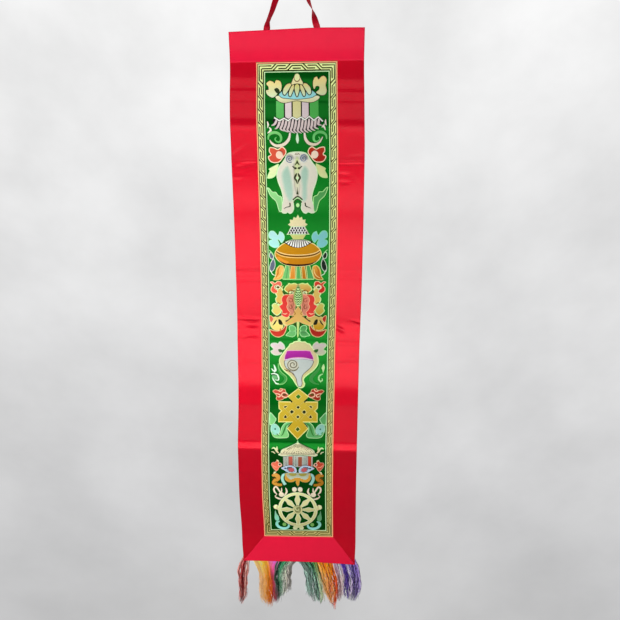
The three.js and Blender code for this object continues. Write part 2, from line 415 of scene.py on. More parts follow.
ground = cloth_piece(
    "brocade_ground", 28, PANEL_ROWS, panel_place, GROUND_THICKNESS, GROUND_FRONT
)
ground.data.materials.append(satin("green ground satin", (0, 80, 14), "down", 1.0, 0.3, 0.07))
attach(ground, "root")
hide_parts("brocade_panel")

# --- The woven border ---
# A key fret woven in gold weft all round the brocade, between a mint line inside and a peach line
# outside. Coloured wefts lie across the work on top of the green satin and are bound in a fine twill.

WEFT_FRONT = 0.18  # how far the first woven layer stands proud of the ground
WEFT_LAYER = 0.1  # each layer over it
WEFT_ROOT = 0.25  # how deep a patch is bedded in the ground
OUTLINE_STEP = 4  # no side of a patch's outline is longer
FILLING_STEP = 6  # about how far apart the points inside a patch lie across
CORNER_ROOM = 0.9  # those points keep this far from the outline's corners
PAINTED_LIGHT_LEFT = 1.12  # painted light and shade: the figures' colours are made brighter towards the left edge of the work and darker towards the right, as if lit from the left
PAINTED_SHADE_RIGHT = 0.95


def smooth(points, steps=4, closed=True):
    """A round line through the points, with that many steps between one and the next."""
    count = len(points)
    line = []
    for index in range(count if closed else count - 1):
        near = [index - 1, index, index + 1, index + 2]
        wrapped = [n % count if closed else min(max(n, 0), count - 1) for n in near]
        a, b, c, d = (Vector(points[n]) for n in wrapped)
        for step in range(steps):
            t = step / steps
            bend = (2 * a - 5 * b + 4 * c - d) * t * t + (3 * b - a - 3 * c + d) * t * t * t
            line.append(b + ((c - a) * t + bend) / 2)
    if not closed:
        line.append(Vector(points[-1]))
    return line


def divided(points, reach):
    """The closed outline with its long sides divided into steps no longer than the reach."""
    outline = []
    for start, end in zip(points, list(points[1:]) + [points[0]]):
        start, end = Vector(start), Vector(end)
        steps = max(1, math.ceil((end - start).length / reach))
        outline += [start.lerp(end, step / steps) for step in range(steps)]
    return outline


def grown(outline, width):
    """The closed outline moved outward by the width."""
    points = [Vector(point) for point in outline]
    turns = zip(points, points[1:] + points[:1])
    area = sum(a.x * b.y - a.y * b.x for a, b in turns)
    out = width if area > 0 else -width
    moved = []
    for index, point in enumerate(points):
        before, after = points[index - 1], points[(index + 1) % len(points)]
        along = (after - before).normalized()
        moved.append(point + Vector((along.y, -along.x)) * out)
    return moved


def mirrored(outline, centre=0):
    """The outline turned over about an upright line."""
    return [Vector((2 * centre - point[0], point[1])) for point in outline]


def oval(across, down, half_across, half_down=None, count=18):
    """A closed ellipse."""
    half_down = half_down or half_across
    turns = [2 * math.pi * step / count for step in range(count)]
    return [Vector((across + half_across * math.cos(t), down + half_down * math.sin(t))) for t in turns]


def stroke(points, widths, steps=4):
    """The outline of a brush stroke along the points, as wide at each as the widths say."""
    if steps > 1:
        line = smooth(points, steps, closed=False)
    else:
        line = [Vector(point) for point in points]
    if not isinstance(widths, (list, tuple)):
        widths = [widths] * 2
    left, right = [], []
    for index, point in enumerate(line):
        before, after = line[max(index - 1, 0)], line[min(index + 1, len(line) - 1)]
        along = (after - before).normalized()
        place = index / (len(line) - 1) * (len(widths) - 1)
        low = min(int(place), len(widths) - 2)
        half = mix(widths[low], widths[low + 1], place - low) / 2
        left.append(point + Vector((along.y, -along.x)) * half)
        right.append(point - Vector((along.y, -along.x)) * half)
    return left + right[::-1]


def inside(point, outline):
    """Whether the point is inside the outline and not close to its corners."""
    crossings = False
    for a, b in zip(outline, outline[1:] + outline[:1]):
        if (a.y > point.y) != (b.y > point.y):
            if point.x < a.x + (point.y - a.y) / (b.y - a.y) * (b.x - a.x):
                crossings = not crossings
    return crossings and min((point - corner).length for corner in outline) > CORNER_ROOM


class Figure:
    """Patches of coloured weft gathered into one mesh. Its centre is where pairs are mirrored."""

    def __init__(self, name, centre=0, dyes_with_painted_light=(PAINTED_LIGHT_LEFT, PAINTED_SHADE_RIGHT)):
        self.name = name
        self.centre = centre
        self.dyes_with_painted_light = dyes_with_painted_light
        self.points, self.faces, self.colours = [], [], []

    def patch(self, outline, colour, layer=0, edge=None, gap=0, both=False):
        """Weaves one patch, in one colour or in two that fade from its top to its foot. edge is the
        colour and width of a line just inside its outline, gap the width of a dark one round it.
        both weaves its mirror image too."""
        if both:
            self.patch(mirrored(outline, self.centre), colour, layer, edge, gap)
        if gap:
            self.patch(grown(outline, gap), DARK, layer)
            layer += 1
        if edge:
            self.patch(outline, edge[0], layer)
            outline = grown(outline, -edge[1])
            layer += 1
        outline = divided(outline, OUTLINE_STEP)
        top, foot = min(p.y for p in outline), max(p.y for p in outline)
        low, high = min(p.x for p in outline), max(p.x for p in outline)
        filling = []
        for row in range(math.ceil((top - PANEL_TOP) / ROW), math.ceil((foot - PANEL_TOP) / ROW)):
            down = PANEL_TOP + row * ROW
            columns = max(1, round((high - low) / FILLING_STEP))
            for column in range(1, columns):
                point = Vector((mix(low, high, column / columns), down))
                if inside(point, outline):
                    filling.append(point)
        flat, _, faces, *_ = delaunay_2d_cdt(
            outline + filling, [], [list(range(len(outline)))], 1, 1e-5
        )
        proud = GROUND_FRONT + WEFT_FRONT + WEFT_LAYER * layer
        base, count = len(self.points), len(flat)
        shades = colour if isinstance(colour[0], (list, tuple)) else (colour, colour)
        for height in (proud, GROUND_FRONT - WEFT_ROOT):
            for point in flat:
                self.points.append((point.x, point.y, height))
                share = (point.y - top) / (foot - top)
                # Painted light and shade: each point's colour is scaled from the left factor to the right
                # one across the work.
                dye_with_painted_light = mix(*self.dyes_with_painted_light, min(max(point.x / 100 + 0.5, 0), 1))
                parts = [min(mix(a, b, share) * dye_with_painted_light, 255) for a, b in zip(*shades)]
                self.colours.append(linear(parts))
        sides = set()
        for face in faces:
            a, b, c = (flat[corner] for corner in face[:3])
            if (b - a).x * (c - a).y - (b - a).y * (c - a).x > 0:
                face = face[::-1]
            self.faces.append([base + corner for corner in face])
            self.faces.append([base + count + corner for corner in face[::-1]])
            sides.update(zip(face, list(face[1:]) + [face[0]]))
        for start, end in sides:
            if (end, start) not in sides:
                wall = (end, start, start + count, end + count)
                self.faces.append([base + corner for corner in wall])

    def line(self, points, widths, colour, layer=0, steps=4, **rest):
        """Weaves a brush stroke along the points. See stroke and patch."""
        self.patch(stroke(points, widths, steps), colour, layer, **rest)

    def sided(self, outline, side):
        """The outline as it is for the left, or turned over about the centre for the right."""
        return outline if side < 0 else mirrored(outline, self.centre)

    def outward(self, points, side):
        """Points given outward from the centre, on that side."""
        return [(self.centre + side * across, down) for across, down in points]

    def woven(self, material):
        """Makes the mesh of all its patches, on the cloth."""
        places = [on_cloth(*point) for point in self.points]
        flat = [(across, down) for across, down, _ in self.points]
        piece = point_piece(self.name, places, self.faces, flat)
        dye_points(piece, self.colours)
        piece.data.materials.append(material)
        bpy.ops.object.shade_smooth_by_angle(angle=math.radians(40))
        piece.select_set(False)
        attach(piece, "root")


def weft(name, metallic, roughness):
    """Coloured weft bound in twill: fine threads across the work, crossed by slanting ties."""
    material, wire = new_finish(name)
    # The point colours carry the figures' painted light from left to right and the painted shade of the
    # fringe's dark threads.
    dye_with_painted_light = wire.node("ShaderNodeVertexColor", {"layer_name": "dye_with_painted_light"})
    threads = flat_noise(wire, 30, 2400)
    mottle = flat_noise(wire, 260, 260, 3.0)
    flat = wire.node("ShaderNodeUVMap", {"uv_map": "flat"})
    ties = wire.node(
        "ShaderNodeTexWave",
        {"wave_type": "BANDS", "bands_direction": "DIAGONAL"},
        {"Vector": flat, "Scale": 520.0, "Distortion": 0.6, "Detail": 1.0},
        output="Fac",
    )
    return silk_surface(material, wire, 0.35, threads * 0.6 + ties * 0.4, {
        "Base Color": shaded(wire, dye_with_painted_light, mottle * 0.14 + ties * 0.1 + threads * 0.1 + 0.83),
        "Metallic": metallic,
        "Roughness": threads * 0.1 + (roughness - 0.05),
        "Specular IOR Level": 0.1,
        "Anisotropic": 0.5,
        "Anisotropic Rotation": 0.25,
    })


DARK = (22, 26, 2)
gold_weft = weft("gold weft", 0.3, 0.5)
silk_weft = weft("coloured silk weft", 0.0, 0.55)

PEACH = (228, 164, 118)
GOLD_BAND = (212, 224, 152)
GOLD_FOOT = (176, 164, 102)
OLIVE = (34, 34, 0)
MINT_LINE = (180, 216, 162)
OLIVE_FADED = (136, 132, 64)
FADE_RIGHT = 0.15
FRET_LINE = 2.2
FRET_OUTER_EDGE = 67
FRET_OUTER_ROW = 63.8
FRET_INNER_ROW = 60.4
FRET_INNER_EDGE = 57.2
SIDE_START = 84.5  # the first slanting line down each side, and the step to the next
SIDE_STEP = 21.25
SIDE_WIDTH = 1.75  # of a line of the side fret
SLANT_RISE = 1.15  # how far a slanting line drops for each millimetre across
SLANT_GAP = 4.6  # down from one slanting line to the next, or to where an upright starts
PANEL_MIDDLE = (PANEL_TOP + PANEL_BOTTOM) / 2

# The border's colours are painted a little lighter towards the left, painted light as in the figures.
border = Figure("woven_border", 0, (1.06, 1.03))


def frame_band(outer, inner, depth, colour, layer=0, foot_colour=None):
    """Weaves a rectangular frame: half-widths outer and inner, its first edge that far down. Down
    its sides it may fade to another colour."""
    foot_colour = foot_colour or colour
    top, foot = depth, 2 * PANEL_MIDDLE - depth
    wide = outer - inner
    for sign in (-1, 1):
        corners = [(outer, top), (inner, top + wide), (inner, foot - wide), (outer, foot)]
        border.patch([(sign * across, down) for across, down in corners], (colour, foot_colour), layer)
        level = top if sign < 0 else foot
        step = -sign * wide
        corners = [(-outer, level), (outer, level), (inner, level + step), (-inner, level + step)]
        border.patch(corners, colour if sign < 0 else foot_colour, layer)


def fret_line(points, fade=0.0, width=FRET_LINE):
    """Weaves one olive line of the fret on both sides of the work's centre line. The lines fade
    towards the foot of the work, and more on its right."""
    for outline, fading in ((mirrored(points), fade), (points, fade + FADE_RIGHT)):
        olive = [mix(dark, pale, fading) for dark, pale in zip(OLIVE, OLIVE_FADED)]
        border.line(outline, width, olive, 1, steps=1)


def slant(across, down):
    """The end of a slanting line that leaves the fret's outer edge that far down."""
    return across, down + (FRET_OUTER_EDGE - across) * SLANT_RISE


frame_band(69.4, 67.5, 52.3, PEACH)
frame_band(67.5, 56.6, 54.1, GOLD_BAND, 0, GOLD_FOOT)
frame_band(56.2, 54.6, 67.3, MINT_LINE, 1)
frame_band(67.5, 66.3, 54.1, OLIVE, 1)
SIDE_TURNS = 41
SIDE_FADE = 0.6  # how far the side fret has faded at the foot
INNER_LINE_END = 67  # its top; its foot is as far below the middle of the panel
INNER_LINE_FADE = 0.3
FOOT_FADE = 0.45
for turn in range(SIDE_TURNS):
    start = SIDE_START + turn * SIDE_STEP
    above = start + SIDE_STEP - SLANT_GAP
    fade = SIDE_FADE * turn / SIDE_TURNS
    fret_line([
        slant(FRET_OUTER_EDGE, start), slant(FRET_INNER_ROW, start),
        slant(FRET_INNER_ROW, above - SLANT_GAP),
    ], fade, SIDE_WIDTH)
    fret_line([
        slant(FRET_OUTER_ROW, start + SLANT_GAP), slant(FRET_OUTER_ROW, above),
        slant(FRET_INNER_EDGE, above),
    ], fade, SIDE_WIDTH)
inner_line_foot = 2 * PANEL_MIDDLE - INNER_LINE_END
fret_line([(FRET_INNER_EDGE, INNER_LINE_END), (FRET_INNER_EDGE, inner_line_foot)], INNER_LINE_FADE)
for flip in (False, True):

    def row_line(*points):
        """Weaves one olive line of the top fret, or of the foot's when it is turned over."""
        turned = [(across, 2 * PANEL_MIDDLE - down if flip else down) for across, down in points]
        fret_line(turned, FOOT_FADE if flip else 0)

    row_line((0, 66.3), (57, 66.3))
    row_line((0, 58), (8, 58), (16.4, 66.4))
    row_line((0, 62.5), (7, 62.5))
    row_line((10.5, 54.5), (18.5, 62.5), (31.5, 62.5))
    row_line((18.5, 58), (33, 58), (41.4, 66.4))
    row_line((35.5, 54.5), (43.5, 62.5), (60, 62.5))
    row_line((43.5, 58), (64.4, 58), (64.4, 81), (FRET_INNER_EDGE, 88))
    row_line((60.5, 62.5), (60.5, 80))
border.woven(gold_weft)

# --- The victory banner ---
# The first of the eight auspicious symbols, at the head of the work: a jewel, a lotus canopy, five
# cloth panels and a pleated flounce, between two clouds and two curling scarves.

CREAM = (222, 214, 158)
PALE_GOLD = (218, 200, 124)
MINT = (196, 222, 190)
PINK_WHITE = (222, 212, 200)

banner = Figure("woven_victory_banner", 0.5)
cloud = smooth([
    (-52, 87), (-47, 82.5), (-41, 84), (-38, 86.5), (-35, 81.5), (-28, 84), (-26, 92), (-27.5, 99),
    (-33, 103), (-36, 107), (-42, 109.5), (-50, 105), (-52.5, 98), (-48.5, 97), (-48.5, 92),
])
banner.patch(cloud, ((226, 204, 128), (204, 220, 180)), 0, gap=1.1)
banner.patch(
    smooth([(-38.5, 96), (-34, 94), (-30, 97), (-29, 101), (-33, 103), (-37, 99.5)]), (34, 52, 22), 2
)
cloud = smooth([
    (28, 85), (30, 79), (34.5, 77), (37, 81.5), (42, 77), (47, 76), (51, 82), (49, 91), (51, 99),
    (49, 105), (43, 107), (37, 105), (33, 102), (38, 98), (38.5, 93), (33, 92), (30, 97), (28, 92),
])
banner.patch(cloud, ((236, 208, 132), (204, 214, 166)), 0, gap=1.1)
banner.patch(
    smooth([
        (-35, 110), (-24, 113.5), (0, 115), (24, 113.5), (34, 110), (35, 140), (23, 143), (-22, 143),
        (-33, 140),
    ], 2),
    DARK,
)
# Painted shade: the right-hand green and pink panels are darker copies of the left-hand ones.
for start, end, colour in (
    (-35.3, -22.3, ((94, 184, 96), (84, 174, 84))), (-20, -9.2, ((222, 206, 206), (212, 198, 198))),
    (-6.8, 6.8, ((204, 198, 136), (206, 204, 148))), (8.9, 20, ((202, 186, 190), (208, 194, 194))),
    (22.2, 36.8, ((72, 166, 74), (72, 166, 74))),
):
    middle = (start + end) / 2
    panel = [(start, 115), (end, 115), (end, 141.5), (middle, 144.5), (start, 141.5)]
    banner.patch(panel, colour, 1)
ice_cloth = smooth([
    (-24, 99), (-30.5, 106), (-25, 110.5), (0, 112.5), (26, 110.5), (33, 106), (26, 99), (12, 93), (-10, 93)
])
banner.patch(ice_cloth, ((142, 196, 188), (140, 208, 214)), 1, gap=1.1)
brim = smooth([
    (-36.5, 109), (-31, 107), (-25, 110.8), (-12, 112.5), (0, 113.5), (13, 112.8), (26, 111), (33, 107.5),
    (39, 109.5), (35, 114.5), (25, 118), (12, 117), (0, 114.8), (-12, 117), (-22, 118.5), (-31, 115.5),
])
banner.patch(brim, ((226, 226, 186), (206, 202, 156)), 3, gap=0.9)
petal = smooth([
    (-9, 88), (-16, 88), (-22, 94.5), (-23.5, 102), (-20.5, 105.5), (-16.5, 101), (-12, 94)
])
banner.patch(petal, (PALE_GOLD, MINT), 4.6, gap=1.5, both=True)
petal = smooth([(-5, 89), (-9, 92), (-12.5, 99), (-13.5, 105), (-11, 108), (-8, 102.5), (-5, 95)])
banner.patch(petal, (PALE_GOLD, MINT), 6.2, gap=1.5, both=True)
petal = smooth([(0.5, 88), (-3, 91), (-3.4, 97), (-1.6, 104), (0.5, 108.5), (2.6, 104), (4.4, 97), (4, 91)])
banner.patch(petal, ((206, 200, 110), MINT), 7.8, gap=1.5)
base = smooth([
    (-4, 77), (-7, 82), (-9, 86.5), (-8, 89), (-2, 87.5), (3, 87.5), (9.5, 89), (10.5, 86), (7.5, 81),
    (5, 77),
], 3)
banner.patch(base, CREAM, 9.4, gap=1.1)
banner.patch(oval(0.5, 78.5, 5.4, 6.3), (96, 50, 14), 11)
banner.patch(oval(0.5, 77.2, 4.7, 6), (216, 220, 156), 12)

flounce = [
    (-36, 142), (38, 142), (41, 150), (36, 159), (20, 165), (0, 168), (-20, 165), (-34, 160), (-39, 152)
]
banner.patch(smooth(flounce, 2), (20, 16, 18))
PLEATS = 14
for pleat in range(PLEATS):
    share = pleat / (PLEATS - 1)
    across = mix(-34, 37.5, share)
    arch = 1 - (2 * share - 1) ** 2
    foot = 156 + 13 * arch ** 0.6
    lean = mix(6, 1.5, share)
    tip = (across - lean + 6.5, foot) if pleat > 1 else (across - lean - 4, foot - 1)
    fold = [
        (across, 145), (across - lean * 0.5, mix(147, foot, 0.45)), (across - lean, mix(147, foot, 0.78)),
        tip,
    ]
    banner.line(fold, (2.8, 3.9, 3.7, 2.8, 0.8), ((212, 196, 192), (194, 178, 176)), 1)
zigzag = [
    (-39, 142), (-30, 147.5), (-22, 143.5), (-15, 147.5), (-8, 142), (0, 146), (7, 142), (13.5, 146.5),
    (21, 141), (29, 147.5), (36.5, 142), (44, 149.5),
]
banner.line(zigzag, 3.6, (60, 66, 50), 2, steps=1)
banner.line(zigzag, 2.2, (232, 236, 226), 3, steps=1)
banner.patch(smooth([(0, 168), (-2.6, 178), (-1, 184.5), (0.2, 186), (1.6, 184), (2.6, 178)]), MINT, 1)
scarf = stroke([
    (-12.5, 168), (-15, 179), (-24, 187.5), (-36, 189.5), (-44, 185), (-47.5, 179)
], (2.5, 4.8, 5.4, 4.8, 3.4, 1))
banner.patch(scarf, (PINK_WHITE, (218, 208, 182)), 2, gap=0.8)
scarf = stroke(
    [(12.5, 168), (14, 178.5), (20, 186), (30, 188), (38, 184), (43.5, 175)], (2.5, 4.8, 5.2, 4.4, 3, 1)
)
banner.patch(scarf, (PINK_WHITE, (212, 198, 172)), 2, gap=0.8)
for side in (-1, 1):
    curl = [
        (-50, 179), (-49, 172), (-43, 167.5), (-35, 167.5), (-29, 172), (-28, 179), (-31, 183), (-36, 182),
        (-38.5, 178), (-36, 175),
    ]
    curl = [(-side * across, down) for across, down in curl]
    colours = ((118, 186, 108), (96, 178, 96)) if side < 0 else ((92, 170, 92), (112, 196, 112))
    banner.line(curl, (1.6, 3.6, 4.8, 4.6, 4.2, 3.8, 3, 2.4, 1.8, 1.2), colours, 0)
for leaf in (
    [(-51, 148), (-49.5, 153), (-50.5, 159)], [(-45, 161), (-47, 165), (-51, 168)],
    [(49, 146), (48.5, 151), (50, 156)], [(43, 156), (46.5, 159), (48, 164)],
    [(47, 153), (45, 157), (42, 159)], [(-48, 158), (-45.5, 161), (-44, 165)],
):
    banner.line(leaf, (0.8, 3.2, 0.8), PINK_WHITE, 1)
banner.woven(silk_weft)

# --- The pair of golden fish ---
# Two pale fish side by side, heads up, joined down the middle, with curled eyes and fins, between
# two red flowers above and two green leaves below.

FISH = (212, 210, 192)
SEA = (156, 188, 168)

fish = Figure("woven_golden_fish", -1)
body = smooth([
    (-1, 199.5), (-12, 200.5), (-19, 204), (-23, 212), (-28, 219), (-34, 227), (-37.5, 240), (-35, 254),
    (-30.5, 266), (-28, 277), (-27.5, 288), (-31, 297), (-31.5, 304), (-28.5, 310), (-22, 311),
    (-19.5, 309), (-15, 311.5), (-10, 308.5), (-7.5, 301), (-8, 292), (-7, 287), (-1, 285),
    (5, 287), (5, 294), (4.5, 302), (8, 309), (13, 311.5), (17.5, 309), (23, 311), (29, 309.5), (31.5, 303),
    (28, 296), (25, 288), (25, 278), (28, 266), (32, 254), (34.5, 240), (32, 227), (26, 219), (21, 211),
    (17, 204), (10, 200.5),
], 3)
FISH_TAIL = (210, 204, 186)
fish.patch(body, (FISH, FISH_TAIL), 0, ((204, 230, 186), 1.4))
for across, lean in ((-20, 5), (12.5, -2.5)):
    water = smooth([
        (across + lean * 0.4, 222), (across + 8.5, 233), (across + 8.5 + lean, 262),
        (across + 8 + lean, 283), (across + 2 + lean, 291), (across - 5.5 + lean, 286), (across - 8, 262),
        (across - 10, 236),
    ])
    for step in range(5):
        share = step / 4
        tone = [mix(a, b, share) for a, b in zip(FISH, SEA)]
        foot = [mix(a, b, share) for a, b in zip(FISH_TAIL, (166, 196, 178))]
        fish.patch(grown(water, -1.3 * step), (tone, foot), 1.3 + step / 4)
for across, down, turn, grey in ((-14, 212, 1, (108, 116, 138)), (10.5, 211.5, -1, (104, 118, 144))):
    fish.patch(oval(across, down, 7.4, 7.8, 22), (194, 202, 196), 1)
    coil = []
    for step in range(15):
        angle = turn * (step * 0.75 + 1)
        reach = 6.6 * (1 - step / 16)
        coil.append((across + reach * math.cos(angle), down + reach * math.sin(angle)))
    fish.line(coil, 1.6, grey, 2, steps=2)
chest = smooth([
    (-1, 207), (-6.5, 219), (-7.5, 240), (-6, 262), (-1, 280), (4, 262), (5.5, 240), (4.5, 219)
])
for step in range(3):
    tone = [mix(a, b, (step + 1) / 3) for a, b in zip(FISH, (192, 208, 140))]
    fish.patch(grown(chest, -1.4 * step), (tone, FISH_TAIL), 1 + step / 4)
DARK_SILK = (48, 56, 26)
fish.line([(-4.5, 205), (-3, 203.2), (-1, 204.6), (1, 203.2), (3, 205)], 1.3, (110, 96, 50), 2, steps=3)
fish.line([(-1, 215), (-2.2, 219.5), (-4.6, 222.8)], (1.6, 2.4, 1.4), DARK_SILK, 2, steps=1, both=True)
fish.patch(oval(-4.2, 228.6, 2.4, 2.1), DARK_SILK, 2, both=True)
fish.line([(-6.4, 227.4), (-9.6, 224.8)], (2.6, 0.8), DARK_SILK, 2, steps=1, both=True)
fish.patch(
    smooth([(-2, 237), (-5, 240), (-7.3, 246), (-4, 252), (-1.4, 257), (-1.6, 250), (-4, 246), (-2, 242)]),
    DARK_SILK, 2, both=True,
)
fish.patch(oval(-1, 246.5, 1.5, 2.6), (190, 226, 178), 2)
fish.patch(
    smooth([(-1.2, 262), (-2.2, 270), (-3.2, 275), (-1, 276), (0.6, 275), (-0.6, 270)]), DARK_SILK, 2
)
for drop, width, colour in ((0, 2.6, DARK_SILK), (2.6, 1.8, (176, 222, 160)), (4.8, 2, DARK_SILK)):
    arch = [(-9.4 + drop / 3, 286.2), (-6.4, 283), (-1, 279.5), (4.4, 283), (7.4 - drop / 3, 286.2)]
    fish.line([(across, down + drop) for across, down in arch], width, colour, 2 + drop / 8, steps=3)
fish.patch(smooth([(-7, 293), (-1, 289.5), (5, 293), (3, 302), (-1, 309), (-5.5, 302)]), (20, 104, 36), 2)
fish.patch(oval(-1, 295.5, 3, 3.8), (176, 230, 150), 4)
fish.line([
    (-15, 291), (-14.6, 297), (-18, 298.6), (-21, 299), (-25.5, 302)
], (2.4, 2.2, 1.6, 1.4, 1), DARK_SILK, 2)
fish.line(
    [(12, 291), (13, 297), (16.5, 299), (18, 299.5), (22, 301.5)], (2.4, 2.2, 1.6, 1.4, 1), DARK_SILK, 2
)

fin = smooth([
    (-33, 221), (-40, 223.5), (-50, 229), (-49, 233), (-52, 239), (-53.5, 246), (-48, 246.5), (-42, 244.5),
    (-38, 240), (-36, 234)
])
# Painted light and shade: the left fin is given lighter colours than its mirror image on the right.
fish.patch(fin, ((224, 222, 172), (206, 226, 164)), 1, ((186, 232, 158), 1.2))
fish.patch(mirrored(fin, -1), ((204, 200, 136), (208, 216, 152)), 1, ((190, 222, 140), 1.2))
leaf = smooth([
    (-54.5, 263), (-50, 264.5), (-45, 270.5), (-39, 271), (-35, 277), (-29, 280), (-28, 290), (-29, 306),
    (-34, 307), (-37, 297), (-40, 288), (-48, 280), (-52, 272)
])
# Painted shade: the right leaf is a darker copy of the left one.
fish.patch(leaf, ((140, 204, 130), (122, 186, 116)), 1, ((190, 240, 170), 1.2))
fish.patch(mirrored(leaf, -1), ((76, 146, 74), (72, 158, 84)), 1, ((176, 230, 150), 1.2))
# Painted shade: the right flower's red is a darker copy of the left one's.
for side, red, foot, pearl in (
    (-1, (204, 80, 54), (198, 74, 52), (234, 200, 174)), (1, (174, 46, 12), (162, 20, 4), (232, 210, 186)),
):
    flower = smooth([
        (-48, 192), (-40, 192.5), (-34, 195), (-27, 191), (-21, 195), (-19.5, 202), (-25, 210), (-31, 217),
        (-38, 219), (-46, 217.5), (-50.5, 212), (-50.8, 207), (-46.5, 204.5), (-49.5, 199),
    ])
    flower = fish.sided(flower, side)
    fish.patch(flower, (red, foot), 3, ((240, 212, 178), 1.6))
    fish.line(fish.outward([(34, 197.5), (27, 199), (24, 205)], side), (0.6, 1.6, 0.6), (150, 40, 20), 5)
    fish.patch(oval(side * 30.2 - 1, 205, 6.4, 6.8), pearl, 5)
fish.woven(silk_weft)

# --- The treasure vase ---
# A round orange vase with a banded belly, a ribbed collar, a latticed neck and a spiked crown, on a
# skirt of coloured stripes, between two pale clouds and two knotted ribbons.

AMBER = ((192, 136, 4), (192, 122, 0))
AMBER_EDGE = (240, 220, 156)

vase = Figure("woven_treasure_vase", -1)
for tops, feet, colour in (
    ((-24, -17), (-31, -16), ((108, 186, 112), (116, 190, 104))),
    ((-14, -6), (-17, -6), ((226, 158, 72), (214, 132, 38))),
    ((-4.5, 2.5), (-5.5, 5), ((96, 172, 100), (88, 176, 88))),
    ((4, 11), (6, 14.5), ((206, 142, 50), (176, 104, 10))),
    ((13, 20), (15.5, 28.5), ((78, 156, 84), (76, 164, 86))),
):
    stripe = [(tops[0], 408), (tops[1], 408), (feet[1], 435.5), (feet[0], 435.5)]
    vase.patch(stripe, colour, 0, ((232, 222, 148), 1))
vase.line([(-29, 436.4), (0, 436.8), (28, 436.4)], 1.6, (150, 222, 136), 2, steps=2)
for across, lean in ((-19.5, -3.5), (16, 3), (-0.5, 0)):
    vase.line([(across, 411), (across + lean * 0.4, 422), (across + lean, 435)], 1.1, (70, 150, 76), 2)
petal = smooth([
    (-34, 408.5), (-40, 414), (-42.5, 422), (-43.5, 430), (-47, 437), (-39, 438), (-32, 435.5), (-28, 429),
    (-26.5, 419), (-27.5, 411),
])
# Painted shade: the right petal is a darker copy of the left one.
for outline, colours in (
    (petal, ((228, 178, 88), (236, 166, 76))), (mirrored(petal, -1), ((222, 164, 60), (178, 92, 10)))
):
    vase.patch(outline, colours, 1, ((206, 208, 124), 1.4))
vase.line(
    [(-34, 411), (-37.5, 418), (-38, 425), (-42, 433)], (1, 2.4, 2.4, 1), (188, 106, 26), 3, both=True
)
vase.line(
    [(-30, 416), (-31, 424), (-35, 430), (-41, 434)], (0.8, 1.6, 1.6, 0.8), (236, 204, 130), 3, both=True
)
belly = smooth([
    (-25, 366), (-33, 370.5), (-40, 377.5), (-43.7, 386), (-42, 394), (-36, 401.5), (-26, 407.5),
    (-12, 410.8), (-1, 411.4), (11, 410.8), (24, 407.5), (34, 401.5), (39.8, 394), (41.6, 386), (38, 377.5),
    (31, 370.5), (23, 366), (-1, 364),
], 3)
vase.patch(belly, AMBER, 2, (AMBER_EDGE, 1.4))
# A painted highlight: a lighter patch low on the left of the belly.
PAINTED_HIGHLIGHT = (222, 142, 40)
vase.patch(smooth([(-36, 392), (-39, 394), (-32, 401), (-22, 405.5), (-18, 402), (-28, 397)]), PAINTED_HIGHLIGHT, 4)
for shift, width, colour in (
    (-2.4, 1.8, (236, 206, 132)), (0, 2.1, (84, 40, 0)), (2.6, 1.7, (232, 196, 112))
):
    band = [
        (-40.5, 382), (-35, 386), (-27, 389), (-15, 391), (-1, 391.6), (13, 391), (25, 389), (33, 386),
        (38.5, 382),
    ]
    vase.line([(across, down + shift) for across, down in band], width, colour, 4, steps=2)
foot = smooth([
    (-36, 399.5), (-26, 404.2), (-12, 406.4), (-1, 406.8), (11, 406.4), (24, 404.2), (34, 399.5),
    (25, 406.5), (12, 409.8), (-1, 410.6), (-14, 409.8), (-27, 406.5),
], 3)
vase.patch(foot, (48, 18, 0), 4)
RIBS = 11
collar = smooth([
    (-27, 363.5), (-14, 359), (-1, 358), (12, 359), (25, 363.5), (17, 370), (6, 374.5), (-8, 374.5),
    (-19, 370),
])
vase.patch(collar, (26, 26, 14), 4)
for rib in range(RIBS):
    share = 2 * rib / (RIBS - 1) - 1
    top = (-1 + 17 * share, 360 + 2.4 * share * share)
    foot = (-1 + 22.5 * share, 374.5 - 9.5 * share * share)
    vase.line([top, foot], (1.7, 3), ((220, 216, 206), (244, 246, 240)), 5, steps=1)
vase.line([(-24, 364), (-13, 359.8), (-1, 358.8), (11, 359.8), (22, 364)], 1.1, (150, 200, 130), 6)
neck = [(-15, 350.5), (13, 350.5), (7.5, 359.5), (-9.5, 359.5)]
vase.patch(neck, ((196, 196, 118), (192, 194, 112)), 6, ((196, 222, 150), 0.9))
lattice = [(-13, 334.5), (11, 334.5), (19.5, 350), (-21.5, 350)]
vase.patch(lattice, (10, 10, 10), 6, ((200, 232, 160), 1.4))
for slope in (-1, 1):
    for line in range(-5, 6):
        run = [(-1 + line * 4.9 + slope * (t - 4), 335 + 1.8 * t) for t in range(9)]
        run = [point for point in run if abs(point[0] + 1) < 11.2 + 0.55 * (point[1] - 335)]
        if len(run) > 2:
            vase.line([run[0], run[-1]], 1.1, (236, 234, 228), 8, steps=1)
crown = []
SPIKES = ((-19, 331), (-15.5, 322), (-8.5, 317), (-1, 313), (6, 317), (12.5, 322), (16, 331))
for (across, down), (after, below) in zip(SPIKES, SPIKES[1:]):
    middle = ((across + after) / 2, (down + below) / 2)
    crown += [(across, down), (mix(middle[0], -1, 0.16), mix(middle[1], 334, 0.22))]
crown += [SPIKES[-1], (12, 335), (-14, 335)]
vase.patch(crown, ((222, 212, 160), (220, 208, 162)), 6, ((206, 232, 168), 0.7))
